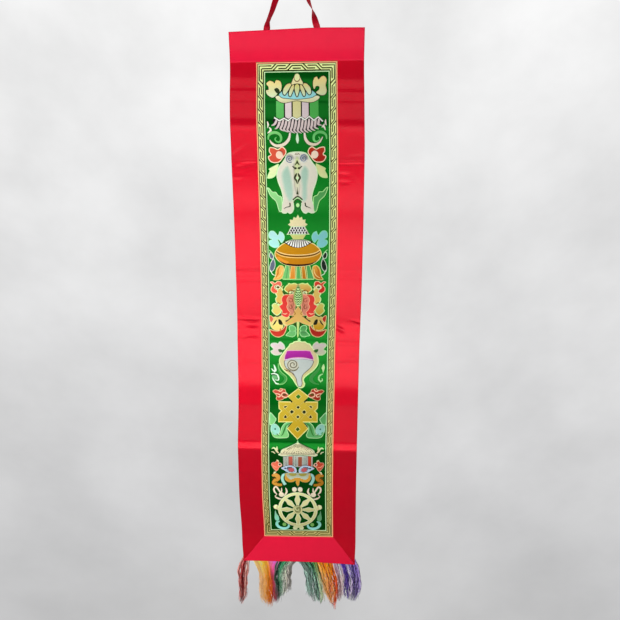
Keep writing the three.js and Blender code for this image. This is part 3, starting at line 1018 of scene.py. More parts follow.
# Painted light and shade: the left cloud and ribbon are given lighter colours than their copies on the
# right.
for side, colours, rim in (
    (-1, ((166, 208, 208), (164, 228, 218)), (170, 228, 190)),
    (1, ((122, 192, 190), (120, 196, 200)), (136, 220, 168)),
):
    cloud = smooth([
        (-54, 349), (-51, 343.5), (-45, 343), (-40.5, 347), (-37.5, 351), (-35.5, 348), (-34, 344),
        (-28, 347), (-25, 354), (-26.5, 361), (-31, 366), (-34.5, 361.5), (-37.5, 359.5), (-34.5, 367),
        (-36, 373.5), (-43, 375.5), (-50, 372.5), (-54, 367), (-53, 361), (-48, 359), (-53, 356.5),
    ], 3)
    vase.patch(vase.sided(cloud, side), colours, 0, (rim, 1))
    loop = [(-53.5, 379), (-49, 384), (-45.5, 390)]
    tail = [
        (-45, 396), (-42.5, 404), (-42.8, 412), (-46, 419), (-51.5, 422), (-53.5, 414), (-51.5, 405),
        (-48, 398),
    ]
    silk = (92, 98, 118) if side < 0 else (14, 26, 18)
    vase.patch(smooth(vase.sided(tail, side)), silk, 1, ((206, 214, 200), 1.1))
    upper = [(50, 383), (46, 386), (43.5, 391), (46, 397), (51, 395), (52.5, 388)]
    vase.patch(smooth(vase.outward(upper, side)), silk, 0, ((206, 214, 200), 1.2))
    vase.line(vase.sided(loop, side), (0.8, 1.6, 1.6), (178, 222, 160), 3)
    vase.line(vase.outward([(50.5, 418), (47, 426), (41, 429)], side), (1.2, 1.6, 1.2), (214, 222, 204), 3)
vase.woven(silk_weft)

# --- The lotus ---
# A full lotus seen from the side: rose and red petals round a scaled green heart, under a golden
# canopy and on golden leaves, with small red flowers and yellow discs at its four corners.

ROSE = ((212, 122, 98), (198, 130, 104))
SCARLET = ((206, 50, 44), (222, 62, 54))
HONEY = ((208, 186, 98), (196, 134, 54))
PEACH_EDGE = (236, 190, 140)
BROWN = (148, 78, 30)

lotus = Figure("woven_lotus", -1)
wing = smooth([
    (-20, 508), (-30, 509), (-38, 511), (-46, 512), (-52, 517), (-53.5, 526), (-50, 534), (-40, 530),
    (-30, 527), (-24, 531), (-17, 527), (-16, 516),
])
# Painted shade: the right wing is a darker copy of the left one.
lotus.patch(wing, ((214, 196, 110), (236, 206, 130)), 0, ((226, 220, 160), 1.1))
lotus.patch(mirrored(wing, -1), ((196, 172, 92), (226, 190, 100)), 0, ((220, 210, 140), 1.1))
column = smooth([
    (-33, 452), (-29, 458), (-27.5, 470), (-30, 484), (-36, 488), (-41.5, 483), (-43.5, 475), (-41, 470),
    (-43.5, 465), (-40, 460), (-38, 452),
])
lotus.patch(column, ((206, 178, 92), (222, 178, 86)), 0, ((204, 238, 166), 1.7), both=True)
lobe = smooth([
    (-45, 483.5), (-39, 485), (-34, 492), (-31.5, 499), (-34, 505), (-40, 509.5), (-46, 506),
    (-50.5, 499.5), (-48.5, 494), (-50, 488),
])
# Painted shade: the right lobe is a darker copy of the left one.
lotus.patch(lobe, ((202, 206, 118), (226, 186, 96)), 1, ((200, 238, 160), 1.7))
lotus.patch(mirrored(lobe, -1), ((196, 190, 98), (190, 154, 48)), 1, ((192, 230, 146), 1.7))
lotus.line([
    (-50, 503), (-45, 509), (-39, 511), (-33, 507), (-29, 503.5)
], (0.8, 1.6, 1.8, 1.6, 0.8), (60, 50, 8), 3, both=True)
lotus.line([(-41, 486), (-38, 483), (-34, 486)], (0.8, 1.6, 0.8), (80, 60, 20), 3, both=True)
lotus.line([(-30, 459), (-27, 463), (-23, 465)], (2, 5, 2), (50, 84, 20), 1, both=True)
canopy = smooth([
    (-26.5, 458), (-25, 451), (-20, 446), (-18.5, 443.5), (-14, 444.8), (-8, 443.5), (-2.5, 446), (-1, 449),
    (-1.5, 458), (-8, 458), (-14, 459.5), (-18, 464),
])
lotus.patch(canopy, HONEY, 2, ((206, 232, 146), 1.6), both=True)
for across in (-12.5, 10.5):
    side = -1 if across < 0 else 1
    arc = [(across + side * 7, 467), (across + side * 5.5, 460), (across, 458), (across - side * 6, 461.5)]
    lotus.line(arc, (1, 2, 2, 0.8), BROWN, 4)
    curl = [
        (across + side * 4, 467), (across + side * 2.5, 462), (across - side * 2, 461.5),
        (across - side * 2, 465), (across + side * 0.5, 464.5),
    ]
    lotus.line(curl, (1, 1.8, 1.6, 1.2, 0.8), (232, 224, 176), 4)
    lotus.line(lotus.outward([(27, 449), (30, 453), (27, 457)], side), (0.8, 2, 0.8), PALE_GOLD, 1)

petals = smooth([
    (-12, 466), (-19, 466.5), (-26, 466.5), (-31, 471), (-32.5, 478), (-31, 485), (-36.5, 489.5),
    (-34, 496), (-31, 501), (-33, 507), (-27.5, 512), (-20, 513), (-14, 506), (-8, 500), (-6, 480),
])
lotus.patch(petals, SCARLET, 2, (PEACH_EDGE, 1.2), both=True)
lotus.line([(-30, 504.5), (-25, 506), (-21, 504)], (0.8, 2.2, 0.8), (248, 190, 150), 4, both=True)
inner = smooth([
    (-10, 466), (-15, 467.5), (-20, 471), (-22.5, 478), (-20.5, 485), (-22.5, 491), (-20, 498), (-16, 503),
    (-18, 508), (-11, 508.5), (-7, 500), (-6, 480),
])
lotus.patch(inner, ROSE, 4, ((240, 180, 140), 1), both=True)
for level, reach in ((478.5, 4.6), (492, 4.8)):
    for side in (-1, 1):
        curl = []
        for step in range(9):
            angle = -1.2 - step * 0.72
            near = reach * (1 - step / 13)
            curl.append((-1 + side * (14 + near * math.cos(angle)), level + near * math.sin(angle)))
        lotus.line(curl, 1.2, (150, 62, 46), 6, steps=2)
for across, top, foot in ((-9.5, 468, 490), (-12, 484, 497), (-8, 492, 503)):
    lotus.line([
        (across, top), (across - 1, (top + foot) / 2), (across + 0.5, foot)
    ], (0.6, 1.6, 0.6), (142, 88, 52), 6, both=True)
fan = smooth([
    (-1, 491), (3, 496), (7, 502), (9, 509), (15, 516), (20, 521), (24, 524), (18, 528.5), (9, 526),
    (-1, 521.5), (-11, 526), (-20, 528.5), (-26, 524), (-22, 521), (-17, 516), (-11, 509), (-9, 502),
    (-5, 496),
])
lotus.patch(fan, ((206, 160, 88), (222, 178, 96)), 5, ((218, 186, 120), 0.9))
lotus.line([(-9, 510), (-15, 514), (-19, 518), (-24, 521)], (1, 2, 1.4, 2.8), (48, 26, 6), 7, both=True)
lotus.line([(-9, 500), (-6, 505), (-9, 508)], (0.6, 1.4, 0.6), (150, 92, 30), 7, both=True)
heart = smooth([
    (-1, 445), (2, 449), (4.5, 456), (7, 463), (8.2, 471), (7, 480), (4.5, 487), (-1, 492), (-6.5, 487),
    (-9, 480), (-10.2, 471), (-9, 463), (-6.5, 456), (-4, 449),
])
lotus.patch(heart, ((122, 156, 80), (150, 178, 96)), 6, ((188, 166, 108), 1.4))
for row in range(8):
    level = 454 + row * 4.6
    reach = (1.6, 2.8, 4.2, 5, 5.2, 4.8, 4, 3)[row]
    scale = [
        (-1 - reach, level - 2), (-1 - reach / 2, level + 1.2), (-1, level - 1.4),
        (-1 + reach / 2, level + 1.2), (-1 + reach, level - 2),
    ]
    lotus.line(scale, 1.9, (44, 92, 30), 8, steps=2)
    lotus.line([(across, down + 1.9) for across, down in scale], 1.3, (204, 240, 172), 8.4, steps=2)
lotus.line([(8, 517), (13, 521), (19, 524.5)], (1, 3.4, 1.6), (206, 188, 84), 7, both=True)
stem = smooth([(-3.2, 521), (1.2, 521), (0.8, 536), (0.4, 549), (-1, 554), (-2.4, 549), (-2.8, 536)])
lotus.patch(stem, ((206, 204, 130), (190, 226, 140)), 4, ((176, 210, 120), 0.6))
lotus.patch(oval(-6.2, 527.5, 2, 3.4, 12), (44, 60, 12), 6, both=True)

for side in (-1, 1):
    # Painted light and shade: on the left the greens, disc, crescent, leaf and flower are given lighter
    # colours than their copies on the right.
    greens = ((108, 182, 112), (98, 178, 94)) if side < 0 else ((72, 140, 76), (88, 166, 90))
    upper = [(-17, 530), (-11, 529), (-6, 532), (-4, 538), (-7, 541), (-15, 541.5), (-18, 536)]
    lower = [
        (-15, 540), (-19, 543), (-24, 549.5), (-18, 551.5), (-12, 553), (-6.5, 550.5), (-4, 545), (-6, 540)
    ]
    for outline in (upper, lower):
        outline = smooth(lotus.sided(outline, side))
        lotus.patch(outline, greens, 1, ((168, 226, 158), 1.3))
    disc = ((246, 220, 122), (250, 204, 110)) if side < 0 else ((208, 166, 70), (186, 138, 4))
    lotus.patch(oval(side * 39 - 1, 530.5, 11.5, 9), disc, 3, ((240, 214, 150), 1))
    crescent = smooth([
        (-54.5, 537), (-51, 546), (-44, 552), (-36, 553), (-28, 549), (-23.5, 541), (-21.5, 531),
        (-25, 529.5), (-30, 536), (-37, 539.5), (-45, 539.5),
    ])
    reds = ((176, 40, 26), (200, 56, 40)) if side < 0 else ((150, 22, 8), (176, 36, 20))
    lotus.patch(lotus.sided(crescent, side), reds, 4, (PEACH_EDGE, 1.3))
    for hole in (
        [(-32.5, 519), (-37.5, 517), (-36.5, 526.5), (-29.5, 527.5)],
        [(-41, 517.5), (-45.5, 523), (-48.5, 529.5), (-43, 524.5)],
    ):
        lotus.patch(smooth(lotus.sided(hole, side), 3), (22, 26, 2), 5)
    lotus.patch(oval(side * 33 - 1, 538, 1.4, 3), (196, 120, 40), 6)
    leaf = smooth([(-54.5, 509), (-49, 511), (-46.5, 517), (-51, 523.5), (-54.5, 519)])
    lotus.patch(
        leaf if side < 0 else mirrored(leaf, -1.5), (206, 104, 74) if side < 0 else (172, 42, 18), 2,
        (PEACH_EDGE, 1),
    )
    flower = smooth([
        (-53, 442), (-48, 440.5), (-43.5, 443.5), (-39.5, 440), (-32.5, 441), (-31, 448), (-35, 451.5),
        (-38, 448), (-43, 449.5), (-44, 453), (-39, 458), (-39, 463), (-46, 464), (-51.5, 459), (-51, 452),
        (-48, 447.5),
    ])
    reds = ((216, 108, 88), (226, 84, 56)) if side < 0 else ((206, 52, 34), (196, 30, 14))
    lotus.patch(flower if side < 0 else mirrored(flower, -1.5), reds, 3, ((238, 206, 160), 1.2))
    lotus.patch(oval(side * 37.2 - 1, 452, 4.6, 3.8, 14), (236, 226, 190), 5)
    lotus.patch(oval(side * 37.2 - 1, 452, 3, 2.3, 12), (84, 84, 24), 6)
lotus.woven(silk_weft)

# --- The conch ---
# A pale conch shell with its spiral, capped in purple and set in a scalloped halo, between two pink
# clouds and two curling flames.

SHELL = ((184, 194, 188), (196, 202, 196))
SHELL_LINE = (70, 70, 60)
HALO = (204, 194, 142)
HALO_EDGE = (212, 244, 168)

conch = Figure("woven_conch", 1.5)
for reach, width, colour in ((0, 5.5, (60, 142, 66)), (2.6, 1.2, (140, 200, 120))):
    arc = [
        (-38, 606), (-37, 617), (-33.5 + reach, 626), (-25 + reach, 634), (-25 + reach, 642),
        (-31 + reach, 648.5), (-40, 650),
    ]
    conch.line(arc, (1, width, width, width, width, 1.5), colour, 0 if reach == 0 else 2)
arc = [(41, 606), (40, 616), (34, 625), (26, 634), (25, 641), (31, 647), (40, 649.5)]
conch.line(arc, (1, 4, 6, 7, 7, 4, 1.5), (60, 138, 64), 0)
halo = smooth([
    (1.5, 560), (-7, 561), (-11, 564), (-16, 566), (-18.5, 571), (-22, 575), (-30, 586), (-36, 597),
    (-35.5, 609), (-29, 620.5), (-19, 630), (-11.5, 639), (-6, 648), (-1, 655), (5, 657.5), (11, 655),
    (13.5, 649), (11, 642), (12, 637), (19, 630), (29, 622), (37, 611), (39, 600), (36, 587), (28, 575),
    (25, 571), (22, 566), (17, 564.5), (13, 561.5), (7, 561.5),
])
conch.patch(halo, (HALO, (208, 200, 138)), 1, (HALO_EDGE, 1.9))
conch.patch(oval(1.5, 558, 2.9, 3.4, 14), (180, 234, 160), 3)
cap = smooth([
    (-20, 579.5), (0, 579), (21, 579.5), (26, 586), (29.5, 594), (29.5, 600), (24, 599), (12, 596),
    (0, 595.4), (-12, 596.6), (-22, 599.5), (-26.5, 600), (-26.5, 592), (-24, 585),
], 3)
conch.patch(cap, ((176, 40, 158), (146, 26, 132)), 3, ((226, 168, 186), 1.6))
shell = smooth([
    (-26, 600.5), (-14, 597.5), (0, 596.4), (14, 597.5), (29, 600.5), (28.5, 607), (24.5, 615), (17, 622.5),
    (10, 629.5), (7.3, 638), (8.2, 648), (6, 653.8), (3, 655), (-0.5, 653), (-2.8, 646), (-4.6, 637),
    (-9.5, 630), (-16, 623), (-23.5, 616), (-26.5, 608),
], 3)
conch.patch(shell, SHELL, 3, (SHELL_LINE, 1.1))
conch.line([(-24, 599), (-12, 597), (1, 596.3), (14, 597), (27, 599)], 1.9, (218, 196, 222), 5)
whorl = []
for step in range(22):
    angle = 0.35 + step * 0.62
    reach = 12.2 * (1 - step / 25)
    whorl.append((-10 + reach * math.cos(angle), 609 + reach * 1.02 * math.sin(angle)))
conch.patch(
    smooth([(-21, 603), (-12, 599), (-2, 603), (1, 611), (-3, 620), (-12, 622), (-20, 615)]),
    (196, 196, 176), 5,
)
conch.line(whorl, (1.2, 1.6, 1.9, 1.6), (98, 92, 66), 6, steps=2)
conch.line([(-21, 617), (-13, 622), (-4, 620.5), (1, 614)], (0.8, 1.4, 1.4, 0.8), (116, 110, 80), 6)
for line in (
    [(-22, 620), (-15, 624.5), (-10, 626.5), (-7, 631)], [(-26.5, 618.5), (-20, 622.5)],
):
    conch.line(line, (0.8, 1.5, 0.8), (112, 82, 60), 6)
cloud = smooth([
    (-53, 570), (-50, 565), (-43, 564), (-38.5, 565.5), (-35, 561.5), (-29, 565), (-25.5, 571), (-25, 577),
    (-30, 579.5), (-31, 586), (-36, 589.5), (-45, 590), (-51.5, 585), (-52, 580.5), (-47.5, 577.5),
])
# Painted shade: the right cloud is a darker copy of the left one.
conch.patch(cloud, ((214, 198, 202), (212, 196, 184)), 0, ((192, 224, 186), 1.3))
conch.patch(mirrored(cloud, 0.3), ((204, 186, 190), (190, 194, 158)), 0, ((184, 218, 160), 1.3))
for side in (-1, 1):
    conch.patch(
        smooth([(side * 38, 578), (side * 33, 577.5), (side * 29, 581), (side * 32, 584), (side * 36, 583)]),
        (44, 96, 40), 2,
    )
FLAME = (216, 240, 214)
for points, widths in (
    ([(-46.5, 609), (-44, 616), (-43.5, 621), (-46, 625)], (0.8, 3.6, 4.6, 1.5)),
    ([(-51, 617), (-48, 621), (-45, 623)], (0.8, 3, 1)),
    ([
        (-51.5, 628.5), (-46, 627.5), (-40, 630), (-37.5, 636), (-38, 641), (-44, 640.5)
    ], (1.2, 2.6, 2.8, 3, 2.4, 1)),
    ([(-46, 643), (-42, 648), (-37, 648)], (1, 3, 1)),
    ([(-49, 636), (-47, 641), (-44, 645)], (1, 2.2, 1.4)),
):
    conch.line(points, widths, FLAME, 3)
conch.patch(smooth([(-50, 632), (-44, 631), (-40, 636), (-44, 641), (-49, 641)]), (104, 168, 110), 2)
conch.patch(smooth([(-50, 626.5), (-43, 626), (-39, 629), (-45, 631), (-50, 631)]), (18, 40, 14), 2)
conch.patch(
    smooth([(48, 608), (50.5, 615), (49, 621), (47.5, 626), (46, 620), (44.5, 616)]), (200, 226, 164), 3
)
for points, widths in (
    ([(47.5, 628), (43, 630), (39.5, 634), (40, 640), (43.5, 645)], (1, 2.6, 3, 2.6, 1.4)),
    ([(38, 639), (42, 643), (46, 641.5), (45.5, 637)], (1, 2.4, 2.4, 1)),
):
    conch.line(points, widths, (176, 220, 156), 3)
conch.woven(silk_weft)

# --- The endless knot ---
# The endless knot in gold, its band crossing itself round dark diamond openings, with red clouds at
# its shoulders and green and pale blue leaves at its foot.

KNOT_GOLD = ((204, 180, 62), (188, 154, 22))
KNOT_EDGE = (236, 230, 140)
OPENING = (22, 30, 0)

knot = Figure("woven_endless_knot", 0.5)
for side in (-1, 1):
    # Painted light and shade: the left leaves are given lighter colours than their copies on the right.
    tone = ((110, 190, 120), (128, 198, 118)) if side < 0 else ((76, 150, 84), (90, 168, 96))
    frost = (146, 204, 186) if side < 0 else (134, 184, 170)
    green = smooth([
        (-54, 706.5), (-49.5, 708), (-45, 713), (-41, 718), (-43.5, 724), (-46, 727), (-50, 729), (-54, 728)
    ])
    base = smooth([
        (-49, 740), (-49.5, 746), (-46, 752), (-39, 754.5), (-27, 754.5), (-19, 753.5), (-16, 749),
        (-18, 743), (-20, 735), (-14, 728), (-9, 723), (-18, 722.5), (-26, 727), (-31, 734), (-33, 742),
        (-36, 747),
    ])
    ice = smooth([
        (-50, 728), (-44, 727), (-39, 729.5), (-34.5, 735), (-33.5, 741), (-36, 746.5), (-42, 750),
        (-49, 746), (-52, 738),
    ])
    for outline, colour, rim in (
        (green, tone, (176, 226, 170)), (ice, (frost, (150, 214, 196)), (176, 222, 190)),
        (base, tone, (176, 228, 160)),
    ):
        outline = knot.sided(outline, side)
        knot.patch(outline, colour, 1, (rim, 1.2))
    vein = [(-14, 726), (-22, 730), (-25, 738), (-28, 746), (-31, 750)]
    vein = knot.sided(vein, side)
    knot.line(vein, (1, 1.6, 3, 2.4, 1), (44, 120, 40), 3)
    knot.patch(oval(0.5 + side * 43.5, 737, 1.7), (40, 108, 84), 3)
    knot.line(knot.outward([(40, 745), (38.5, 748), (35.5, 749)], side), (1, 1.6, 1), (60, 110, 70), 3)
    slot = knot.outward([(10.5, 724.5), (18.5, 732.5)], side)
    knot.line(slot, 2.4, (26, 50, 8), 4, steps=1)
    slot = knot.outward([(11.5, 685.5), (18, 680)], side)
    knot.line(slot, (2.6, 1.4), DARK, 5.4, steps=1)
    cloud = smooth([
        (-49, 663.5), (-44, 660), (-37, 661.5), (-34, 657.5), (-29, 658.5), (-24.5, 660), (-23, 665),
        (-19, 670), (-20, 675.5), (-26, 678), (-31, 681), (-38, 682.5), (-42.5, 679), (-41.5, 673),
        (-44, 669),
    ])
    # Painted shade: the right cloud is a darker copy of the left one.
    reds = ((198, 82, 64), (184, 66, 44)) if side < 0 else ((178, 46, 26), (152, 32, 10))
    knot.patch(knot.sided(cloud, side), reds, 1, ((216, 196, 144), 1))
    curls = (
        [(-39, 661), (-35, 663.5), (-31, 662), (-30.5, 658.5)],
        [(-44, 668), (-38, 669), (-34, 671.5), (-36, 675), (-40, 673.5)],
        [(-18, 673), (-24, 675.5), (-30.5, 673.5), (-31, 668.5), (-27, 666), (-22, 668), (-18.5, 671)],
    )
    for curl in curls:
        curl = knot.sided(curl, side)
        knot.line(curl, (0.8, 1.7, 1.7, 1.7, 0.8), (242, 206, 172), 3)
    knot.patch(oval(0.5 + side * 26.5, 670.4, 3.6, 2.2, 12), (90, 60, 24) if side < 0 else (84, 70, 6), 3)

half = [
    (0.5, 657), (21, 673.6), (10.8, 684), (38.3, 683.8), (38.3, 697.6), (33.2, 702.4), (38.3, 707.4),
    (38.3, 724), (10.8, 724), (21, 736.4), (0.5, 757),
]
outline = half + [(1 - across, down) for across, down in half[-2:0:-1]]
knot.patch(outline, KNOT_GOLD, 4, (KNOT_EDGE, 1.9))
for line in (
    [(-10, 684), (18, 712), (30, 722)], [(11, 684), (-17, 712), (-29, 722)],
    [(-35, 688), (-11, 712), (-2, 722)], [(36, 688), (12, 712), (3, 722)], [(-30, 702), (-12, 686)],
    [(31, 702), (13, 686)],
):
    knot.line(line, 1.7, (172, 140, 26), 6, steps=1)
    knot.line(line, 0.7, (214, 200, 100), 6.5, steps=1)
for across, down, reach, colour in (
    (0.5, 674, 5, (40, 118, 20)), (0.5, 737, 4.4, (50, 84, 10)), (0.5, 695.2, 3.4, OPENING),
    (0.5, 713.6, 3.4, OPENING), (-11.4, 704, 4.1, OPENING), (12.2, 704.3, 4.1, OPENING),
):
    for size, shade in ((reach + 1.1, KNOT_EDGE), (reach, colour)):
        diamond = [
            (across, down - size), (across + size, down), (across, down + size), (across - size, down)
        ]
        knot.patch(diamond, shade, 7 if shade == KNOT_EDGE else 8)
for side in (-1, 1):
    for corners in (
        [(21, 693.4), (24, 692), (27.6, 694), (25.6, 697.6), (23.6, 695.8)],
        [(20.6, 714.4), (24.2, 709.8), (27.8, 714.6), (24.2, 716.4)],
    ):
        corners = knot.outward(corners, side)
        knot.patch(grown(corners, 1), KNOT_EDGE, 7)
        knot.patch(corners, (50, 34, 2), 8)
knot.woven(silk_weft)

# --- The parasol ---
# A ribbed cream parasol over pillars and red panels, with two eyes and a pale drape below it, between
# scrolls of ice blue and amber and two red clouds.

STONE = (196, 202, 184)
ICE_EDGE = (182, 196, 214)

parasol = Figure("woven_parasol", 1)
for side in (-1, 1):
    # Painted shade: the right scroll, crescent and cloud are darker copies of the left ones.
    painted_shade_side = side > 0
    scroll = [
        (-49, 838), (-43, 836), (-38, 839.5), (-38, 845), (-43, 849), (-45, 854), (-40, 858.5), (-30, 859)
    ]
    scroll = parasol.sided(scroll, side)
    colours = ((206, 150, 66), (184, 132, 40)) if not painted_shade_side else ((176, 118, 26), (160, 108, 12))
    parasol.line(scroll, (4, 8.5, 9, 8, 8.5, 9, 7, 5), colours, 1, gap=0.6)
    parasol.line(
        parasol.outward([(50, 846), (45, 843), (41.5, 845.5)], side), (1, 1.8, 0.8), (104, 62, 8), 3
    )
    parasol.line(
        parasol.outward([(46, 853.5), (41.5, 852), (38, 854.5)], side), (0.8, 2.2, 0.8), (92, 58, 6), 3
    )
    crescent = parasol.outward([(21.5, 831), (28, 835.5), (30.5, 843), (28.5, 851), (24.5, 858.5)], side)
    frost = ((150, 210, 196), (150, 206, 186)) if not painted_shade_side else ((140, 192, 184), (140, 198, 176))
    parasol.line(crescent, (2, 5, 5.6, 5.6, 6), frost, 2, gap=0.6)
    cloud = smooth([
        (-50.5, 811), (-47.5, 806.5), (-43, 806.5), (-40, 802.5), (-36.5, 805), (-33, 809.5), (-29, 812.5),
        (-31, 816), (-35.5, 819), (-37, 823.5), (-41, 827), (-45, 823), (-48.5, 817.5),
    ])
    reds = ((210, 92, 66), (222, 116, 84)) if not painted_shade_side else ((182, 52, 26), (190, 80, 52))
    parasol.patch(parasol.sided(cloud, side), reds, 1, ((214, 170, 136), 0.9), gap=0.5)
    ring = oval(1 + side * 34.8, 811.5, 3.6, 3.8, 14)
    parasol.patch(ring, (232, 196, 170), 4)
    parasol.patch(oval(1 + side * 34.8, 811.5, 2.2, 2.4, 12), (44, 24, 4), 5)
    parasol.line(
        parasol.outward([(49, 812), (45, 817), (39, 817.5)], side), (0.8, 2, 0.8), (238, 150, 116), 4
    )
    for points, widths in (
        ([(50, 776), (46.5, 774), (43, 776.5), (40.5, 781), (37, 785.5)], (1, 3, 3.4, 4, 1.5)),
        ([(40, 771), (40, 775), (38.5, 779)], (1, 3.4, 1)),
        ([(51, 782.5), (47, 783.5), (44, 787)], (1, 2.2, 1.6)),
        ([(42, 828.5), (45, 830), (47, 834)], (1, 3.4, 2)),
        ([(41, 801), (38.5, 803), (37, 806)], (1, 3, 1)),
    ):
        points = parasol.outward(points, side)
        parasol.line(points, widths, ((206, 222, 170), (212, 200, 150)), 2)

wall = [(-27, 789), (30, 789), (30, 817), (-27, 817)]
parasol.patch(wall, (STONE, (150, 160, 154)), 1, gap=0.8)
for across, width, colour in (
    (-25, 2.2, (196, 196, 180)), (-21.5, 1.3, (62, 58, 44)), (-18, 1.8, (184, 202, 190)),
    (-7.5, 1.3, (62, 58, 44)), (-5.5, 1.4, (196, 204, 184)), (-2.5, 1.3, (62, 58, 44)),
    (0, 1.6, (188, 200, 186)), (11.5, 1.2, (196, 180, 166)), (14.5, 2.4, (166, 190, 178)),
    (17.5, 1.3, (62, 58, 44)), (19.6, 1.2, (210, 170, 178)), (28.8, 1.2, (196, 150, 120)),
):
    parasol.line([(across, 791), (across, 816)], width, colour, 2, steps=1)
for start, end, top, colours in (
    (-16.8, -8.8, 793, ((190, 84, 66), (152, 74, 60))), (1.8, 9.4, 794, ((150, 80, 54), (132, 70, 46))),
    (20.8, 27.4, 792, ((188, 70, 46), (168, 44, 24))),
):
    panel = [(start, top), (end, top), (end, 815.5), (start, 815.5)]
    parasol.patch(panel, colours, 3, ((150, 90, 80), 0.6))
roof = smooth([
    (1, 759), (3, 763), (12, 768), (22, 773), (30, 777), (33.5, 781), (35, 785.5), (40, 788.5), (36, 792),
    (28, 792), (15, 790.5), (1, 790), (-13, 790.5), (-26, 792.5), (-34, 791), (-36.5, 788), (-32.5, 785),
    (-31.5, 780.5), (-28, 776.5), (-20, 773), (-10, 768), (-1, 763),
])
parasol.patch(roof, ((226, 220, 174), (214, 206, 168)), 4, ((196, 228, 180), 1.2), gap=0.9)
RIB_PAIRS = 6
for rib in range(-RIB_PAIRS, RIB_PAIRS + 1):
    share = (rib + 0.5) / (RIB_PAIRS + 0.5)
    line = [
        (1 + reach * share, mix(middle, side, abs(share)))
        for reach, middle, side in (
            (3.5, 767, 765), (11, 774, 769), (21, 781, 774), (28.5, 785, 779.5), (32.5, 788, 785)
        )
    ]
    parasol.line(line, (0.3, 1, 1.4, 1.6, 1.5), (98, 76, 38), 6, steps=2)
for step in range(13):
    share = 2 * step / 12 - 1
    scallop = oval(1.5 + 31 * share, 787.6 - 0.5 * share * share, 2.1, 2.3, 10)
    parasol.patch(scallop, (206, 200, 164) if step % 2 else (186, 178, 142), 6)
parasol.line([(1, 758.5), (1, 763)], (1.2, 4), (150, 226, 150), 7)

drape = smooth([
    (-20, 831), (-24, 838), (-24.5, 845), (-21, 850), (-15, 852.5), (-8, 851.5), (-3, 848.5), (-3, 853),
    (-1, 858.5), (1, 861.5), (3.4, 858), (4.6, 852), (5, 848.5), (10, 851.5), (18, 852.5), (24, 849),
    (27, 842), (25.5, 835), (22, 831),
])
parasol.patch(drape, ((196, 152, 60), (196, 132, 30)), 3, ((176, 156, 80), 0.9), gap=0.6)
inner = smooth([
    (-18, 831), (-20.5, 838), (-17.5, 844), (-12, 846.2), (-6, 843.5), (0.5, 841.5), (7, 843.5),
    (13, 846.2), (19, 845), (22.5, 839), (20, 831),
])
parasol.patch(inner, ((150, 152, 122), (176, 194, 176)), 5, ((190, 206, 184), 1))
parasol.patch(smooth([(-16, 831), (-14, 836.5), (-6, 838), (-1, 834), (-4, 831)]), (150, 144, 66), 7)
parasol.patch(smooth([(18, 831), (16, 836.5), (8, 838), (3, 834), (6, 831)]), (146, 138, 60), 7)
for side in (-1, 1):
    eye = smooth([
        (-31.5, 820), (-26, 816.5), (-19, 814), (-11, 813.5), (-5, 816.5), (-1.5, 822), (-1, 828),
        (-5, 831.5), (-12, 831.5), (-19, 829), (-25, 824.5),
    ])
    eye = parasol.sided(eye, side)
    parasol.patch(eye, ((170, 186, 206), (164, 190, 206)), 5, (ICE_EDGE, 0.8), gap=0.6)
    socket = smooth([
        (-26, 819.5), (-19, 817), (-11, 817), (-5.5, 820), (-4, 825), (-7, 828.5), (-13, 828.5),
        (-20, 824.5),
    ])
    parasol.patch(parasol.sided(socket, side), (46, 52, 70), 7)
    pupil = smooth([(-17, 820.5), (-12, 818.5), (-7, 821), (-6, 825.5), (-11, 828), (-16, 825.5)])
    parasol.patch(parasol.sided(pupil, side), (180, 82, 86), 8)
parasol.woven(silk_weft)

# --- The wheel of the law ---
# An eight-spoked wheel in pale gold, with knobs round its rim, between curling flames above and
# green and blue scrolls at the foot of the work.

WHEEL_GOLD = ((216, 214, 154), (176, 172, 118))
WHEEL_EDGE = ((216, 236, 182), (196, 206, 156))
WHEEL_CENTRE = (0, 917.5)
WHEEL_ACROSS = 35.8
WHEEL_DOWN = 38.2

